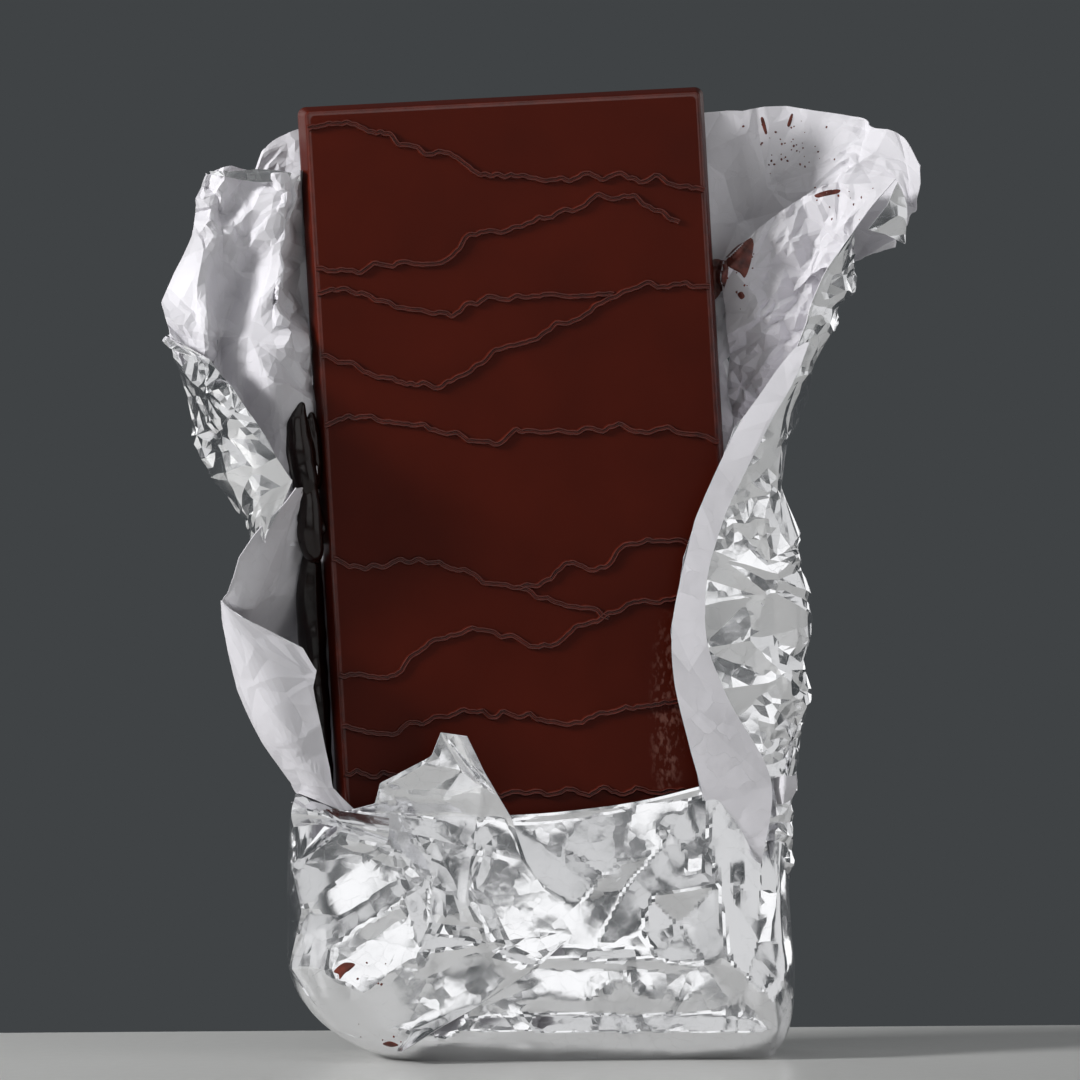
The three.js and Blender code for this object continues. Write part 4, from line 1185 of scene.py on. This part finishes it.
class CHOCOLATE_OT_back(bpy.types.Operator):
    """Build the panel behind the bar and the flared corner at its upper right"""

    bl_idname = "chocolate.back"
    bl_label = "Foil back and flare"

    def execute(self, context):
        panel = crumpled(BACK_PANEL, 101, BRIGHT_BACK, (0.12, 0.2, 0.16), cell=0.6)
        foil_piece("foil_back", [panel])
        flare = crumpled(RIGHT_FLARE, 131, BRIGHT_BACK, (0.1, 0.2, 0.2), creases=FLARE_CREASES)
        tip = crumpled(TIP_FOLD, 137, BRIGHT_FRONT, (0.1, 0.12, 0.1))
        foil_piece("foil_flare", [flare, tip])
        return {"FINISHED"}


class CHOCOLATE_OT_right(bpy.types.Operator):
    """Build the long wing on the right with its turned-back white hem"""

    bl_idname = "chocolate.right"
    bl_label = "Right wing"

    def execute(self, context):
        wing = crumpled(RIGHT_WING, 151, BRIGHT_BACK, (0.14, 0.34, 0.4), calm=0.15)
        hem = crumpled(RIGHT_HEM, 157, BRIGHT_BACK, (0.04, 0.08, 0.08), jag=0.4)
        tab = crumpled(ROLLED_TAB, 163, BRIGHT_BACK, (0.05, 0.1, 0.1), jag=0.3)
        foil_piece("foil_right_wing", [wing, hem, tab])
        return {"FINISHED"}


class CHOCOLATE_OT_left(bpy.types.Operator):
    """Build the crumpled wing, its turned corner and the ear on the left"""

    bl_idname = "chocolate.left"
    bl_label = "Left wing and ear"

    def execute(self, context):
        wing = crumpled(LEFT_WING, 171, BRIGHT_BACK, (0.16, 0.36, 0.55), jag=1.2, creases=LEFT_CREASES)
        corner = crumpled(DOG_EAR, 177, BRIGHT_FRONT, (0.08, 0.2, 0.2), straight=True)
        sliver = crumpled(TOP_SLIVER, 179, BRIGHT_FRONT, (0.1, 0.2, 0.2), jag=0.5)
        foil_piece("foil_left_wing", [wing, corner, sliver])
        ear = crumpled(LEFT_EAR, 181, BRIGHT_BACK, (0.08, 0.12, 0.08), straight=True)
        front = crumpled(EAR_FRONT, 183, BRIGHT_BACK, (0.06, 0.1, 0.06), jag=0.4, straight=True)
        cuff = crumpled(EAR_CUFF, 187, BRIGHT_BACK, (0.08, 0.2, 0.2), jag=0.4)
        foil_piece("foil_left_ear", [ear, front, cuff])
        return {"FINISHED"}


class CHOCOLATE_OT_melt(bpy.types.Operator):
    """Build the melted drips down the bar's left side, and the dark film below them that is painted shade
    in the pocket beside the ear
    """

    bl_idname = "chocolate.melt"
    bl_label = "Melted drips"

    def execute(self, context):
        bm = bmesh.new()
        for chain in DRIPS_AND_SHADE_FILM:
            for x, y, z, radius in catmull(chain, len(chain) * 16):
                radius *= 1 + 0.12 * noise.noise(Vector((x, y, z * 0.3)))
                bmesh.ops.create_icosphere(bm, subdivisions=3, radius=max(radius, 0.3) * MM,
                                           matrix=Matrix.Translation(Vector((x, y, z)) * MM))
        mesh = bpy.data.meshes.new("melt_source")
        bm.to_mesh(mesh)
        bm.free()
        mesh.materials.append(material_named("melted_chocolate_and_painted_shade", melted_chocolate_and_painted_shade))
        source = bpy.data.objects.new("melt_source", mesh)
        context.scene.collection.objects.link(source)
        remesh = source.modifiers.new("melt", "REMESH")
        remesh.mode = "VOXEL"
        remesh.voxel_size = 0.22 * MM
        remesh.use_smooth_shade = True
        smooth = source.modifiers.new("settle", "SMOOTH")
        smooth.iterations = 12
        obj = plain_copy(source, "melt_drips")
        keep(obj, None)
        return {"FINISHED"}


class CHOCOLATE_OT_smears(bpy.types.Operator):
    """Lay the smears and specks of chocolate on the foil"""

    bl_idname = "chocolate.smears"
    bl_label = "Smears and specks"

    def execute(self, context):
        foil = foil_front(SMEARED_FOIL)
        vertices, faces = [], []
        for outline, depth in SMEARS:
            v, f = smear(outline, depth, foil)
            faces.extend(tuple(i + len(vertices) for i in face) for face in f)
            vertices.extend(v)
        melted = material_named("smeared_chocolate", smeared_chocolate)
        keep(mesh_object("chocolate_smears", vertices, faces, [melted]), None)

        rng = random.Random(31)
        places = []
        for x, z, wide, high, count in SPECKS:
            for _ in range(count):
                px, pz = x + rng.gauss(0, wide / 2), z + rng.gauss(0, high / 2)
                hit = foil.ray_cast(Vector((px, -60, pz)), Vector((0, 1, 0)))[0]
                if hit:
                    places.append(hit * MM)
        mesh = bpy.data.meshes.new("speck_places")
        mesh.from_pydata(places, [], [])
        source = bpy.data.objects.new("speck_places", mesh)
        context.scene.collection.objects.link(source)
        tree, size = speck_tree(melted)
        modifier = source.modifiers.new("specks", "NODES")
        modifier.node_group = tree
        modifier[size] = SPECK_SIZE * MM
        keep(plain_copy(source, "chocolate_specks"), None)
        return {"FINISHED"}


class CHOCOLATE_OT_stage(bpy.types.Operator):
    """Set the floor, the lights and the camera"""

    bl_idname = "chocolate.stage"
    bl_label = "Stage"

    def execute(self, context):
        stage = settings("stage")
        scene = context.scene
        near_edge = [(-TABLE_REACH, -TABLE_REACH, 0), (TABLE_REACH, -TABLE_REACH, 0)]
        corners = near_edge + [(TABLE_REACH, TABLE_BEHIND, 0), (-TABLE_REACH, TABLE_BEHIND, 0)]
        mesh = bpy.data.meshes.new("table_top")
        mesh.from_pydata(corners, [], [(0, 1, 2, 3)])
        mesh.materials.append(material_named("stage_surface", stage_surface))
        floor = bpy.data.objects.new("table_top", mesh)
        scene.collection.objects.link(floor)

        world = bpy.data.worlds.new("studio")
        world.use_nodes = True
        background = world.node_tree.nodes["Background"]
        background.inputs["Color"].default_value = linear(stage.backdrop)
        background.inputs["Strength"].default_value = 1.0
        scene.world = world
        scene.view_settings.view_transform = "Standard"

        # Each lamp's place, size and glow, and whether it lights matt surfaces and shows in glossy ones
        lamps = [
            ("key_left", (-1.02, -0.3, 0.5), 0.24, 0.24, 74.0, True, False),
            ("key_sparkle", (-1.02, -0.3, 0.5), 0.16, 0.16, 14.0, False, True),
            ("panel_left", (-1.15, -0.55, 0.3), 1.2, 1.4, 0.55, True, True),
            ("panel_right", (1.25, -0.5, 0.35), 1.5, 1.5, 0.66, False, True),
            ("panel_top", (0.0, -0.6, 1.25), 1.6, 1.0, 0.62, True, True),
            ("panel_front", (0.05, -1.7, 0.62), 1.5, 0.85, 1.05, False, True),
            ("fill_right", (1.3, -0.8, 0.35), 1.2, 1.2, 1.15, True, False),
            ("panel_back_left", (-0.8, 1.0, 0.5), 0.7, 0.7, 1.6, True, True),
            ("panel_back_right", (0.9, 0.9, 0.4), 0.7, 0.7, 1.2, True, True),
        ]
        for name, place, wide, high, glow, matt, glossy in lamps:
            light = bpy.data.lights.new(name, "AREA")
            light.shape = "RECTANGLE"
            light.size, light.size_y = wide, high
            light.energy = glow * math.pi * wide * high
            lamp = bpy.data.objects.new(name, light)
            lamp.location = place
            lamp.rotation_euler = (LAMPS_AIM - Vector(place)).to_track_quat("-Z", "Y").to_euler()
            lamp.visible_diffuse = matt
            lamp.visible_glossy = glossy
            scene.collection.objects.link(lamp)

        camera = bpy.data.cameras.new("camera")
        camera.lens = LENS_MM
        camera.sensor_width = SENSOR_MM
        camera.clip_start = 0.05
        eye = bpy.data.objects.new("camera", camera)
        across, away = math.sin(stage.azimuth), -math.cos(stage.azimuth)
        eye.location = (across * stage.distance + EYE_SHIFT, away * stage.distance, EYE_HEIGHT)
        eye.rotation_euler = (math.pi / 2, 0, stage.azimuth)
        scene.collection.objects.link(eye)
        scene.camera = eye
        return {"FINISHED"}


class CHOCOLATE_PT_panel(bpy.types.Panel):
    bl_label = "Chocolate bar in foil"
    bl_idname = "CHOCOLATE_PT_panel"
    bl_space_type = "VIEW_3D"
    bl_region_type = "UI"
    bl_category = "Chocolate"

    def draw(self, context):
        for name in ("bar", "foil", "stage"):
            group = settings(name)
            box = self.layout.box()
            for key in group.__annotations__:
                box.prop(group, key)
        for operator in OPERATORS:
            self.layout.operator(operator.bl_idname)


GROUPS = {"bar": BarSettings, "foil": FoilSettings, "stage": StageSettings}
OPERATORS = (
    CHOCOLATE_OT_tablet,
    CHOCOLATE_OT_seams,
    CHOCOLATE_OT_pouch,
    CHOCOLATE_OT_back,
    CHOCOLATE_OT_right,
    CHOCOLATE_OT_left,
    CHOCOLATE_OT_melt,
    CHOCOLATE_OT_smears,
    CHOCOLATE_OT_stage,
)


def register():
    for name, group in GROUPS.items():
        bpy.utils.register_class(group)
        setattr(bpy.types.Scene, "chocolate_" + name, bpy.props.PointerProperty(type=group))
    for operator in OPERATORS:
        bpy.utils.register_class(operator)
    bpy.utils.register_class(CHOCOLATE_PT_panel)


def unregister():
    bpy.utils.unregister_class(CHOCOLATE_PT_panel)
    for operator in reversed(OPERATORS):
        bpy.utils.unregister_class(operator)
    for name, group in GROUPS.items():
        delattr(bpy.types.Scene, "chocolate_" + name)
        bpy.utils.unregister_class(group)


def main():
    register()
    for operator in OPERATORS:
        kind, name = operator.bl_idname.split(".")
        getattr(getattr(bpy.ops, kind), name)()


if __name__ == "__main__":
    main()
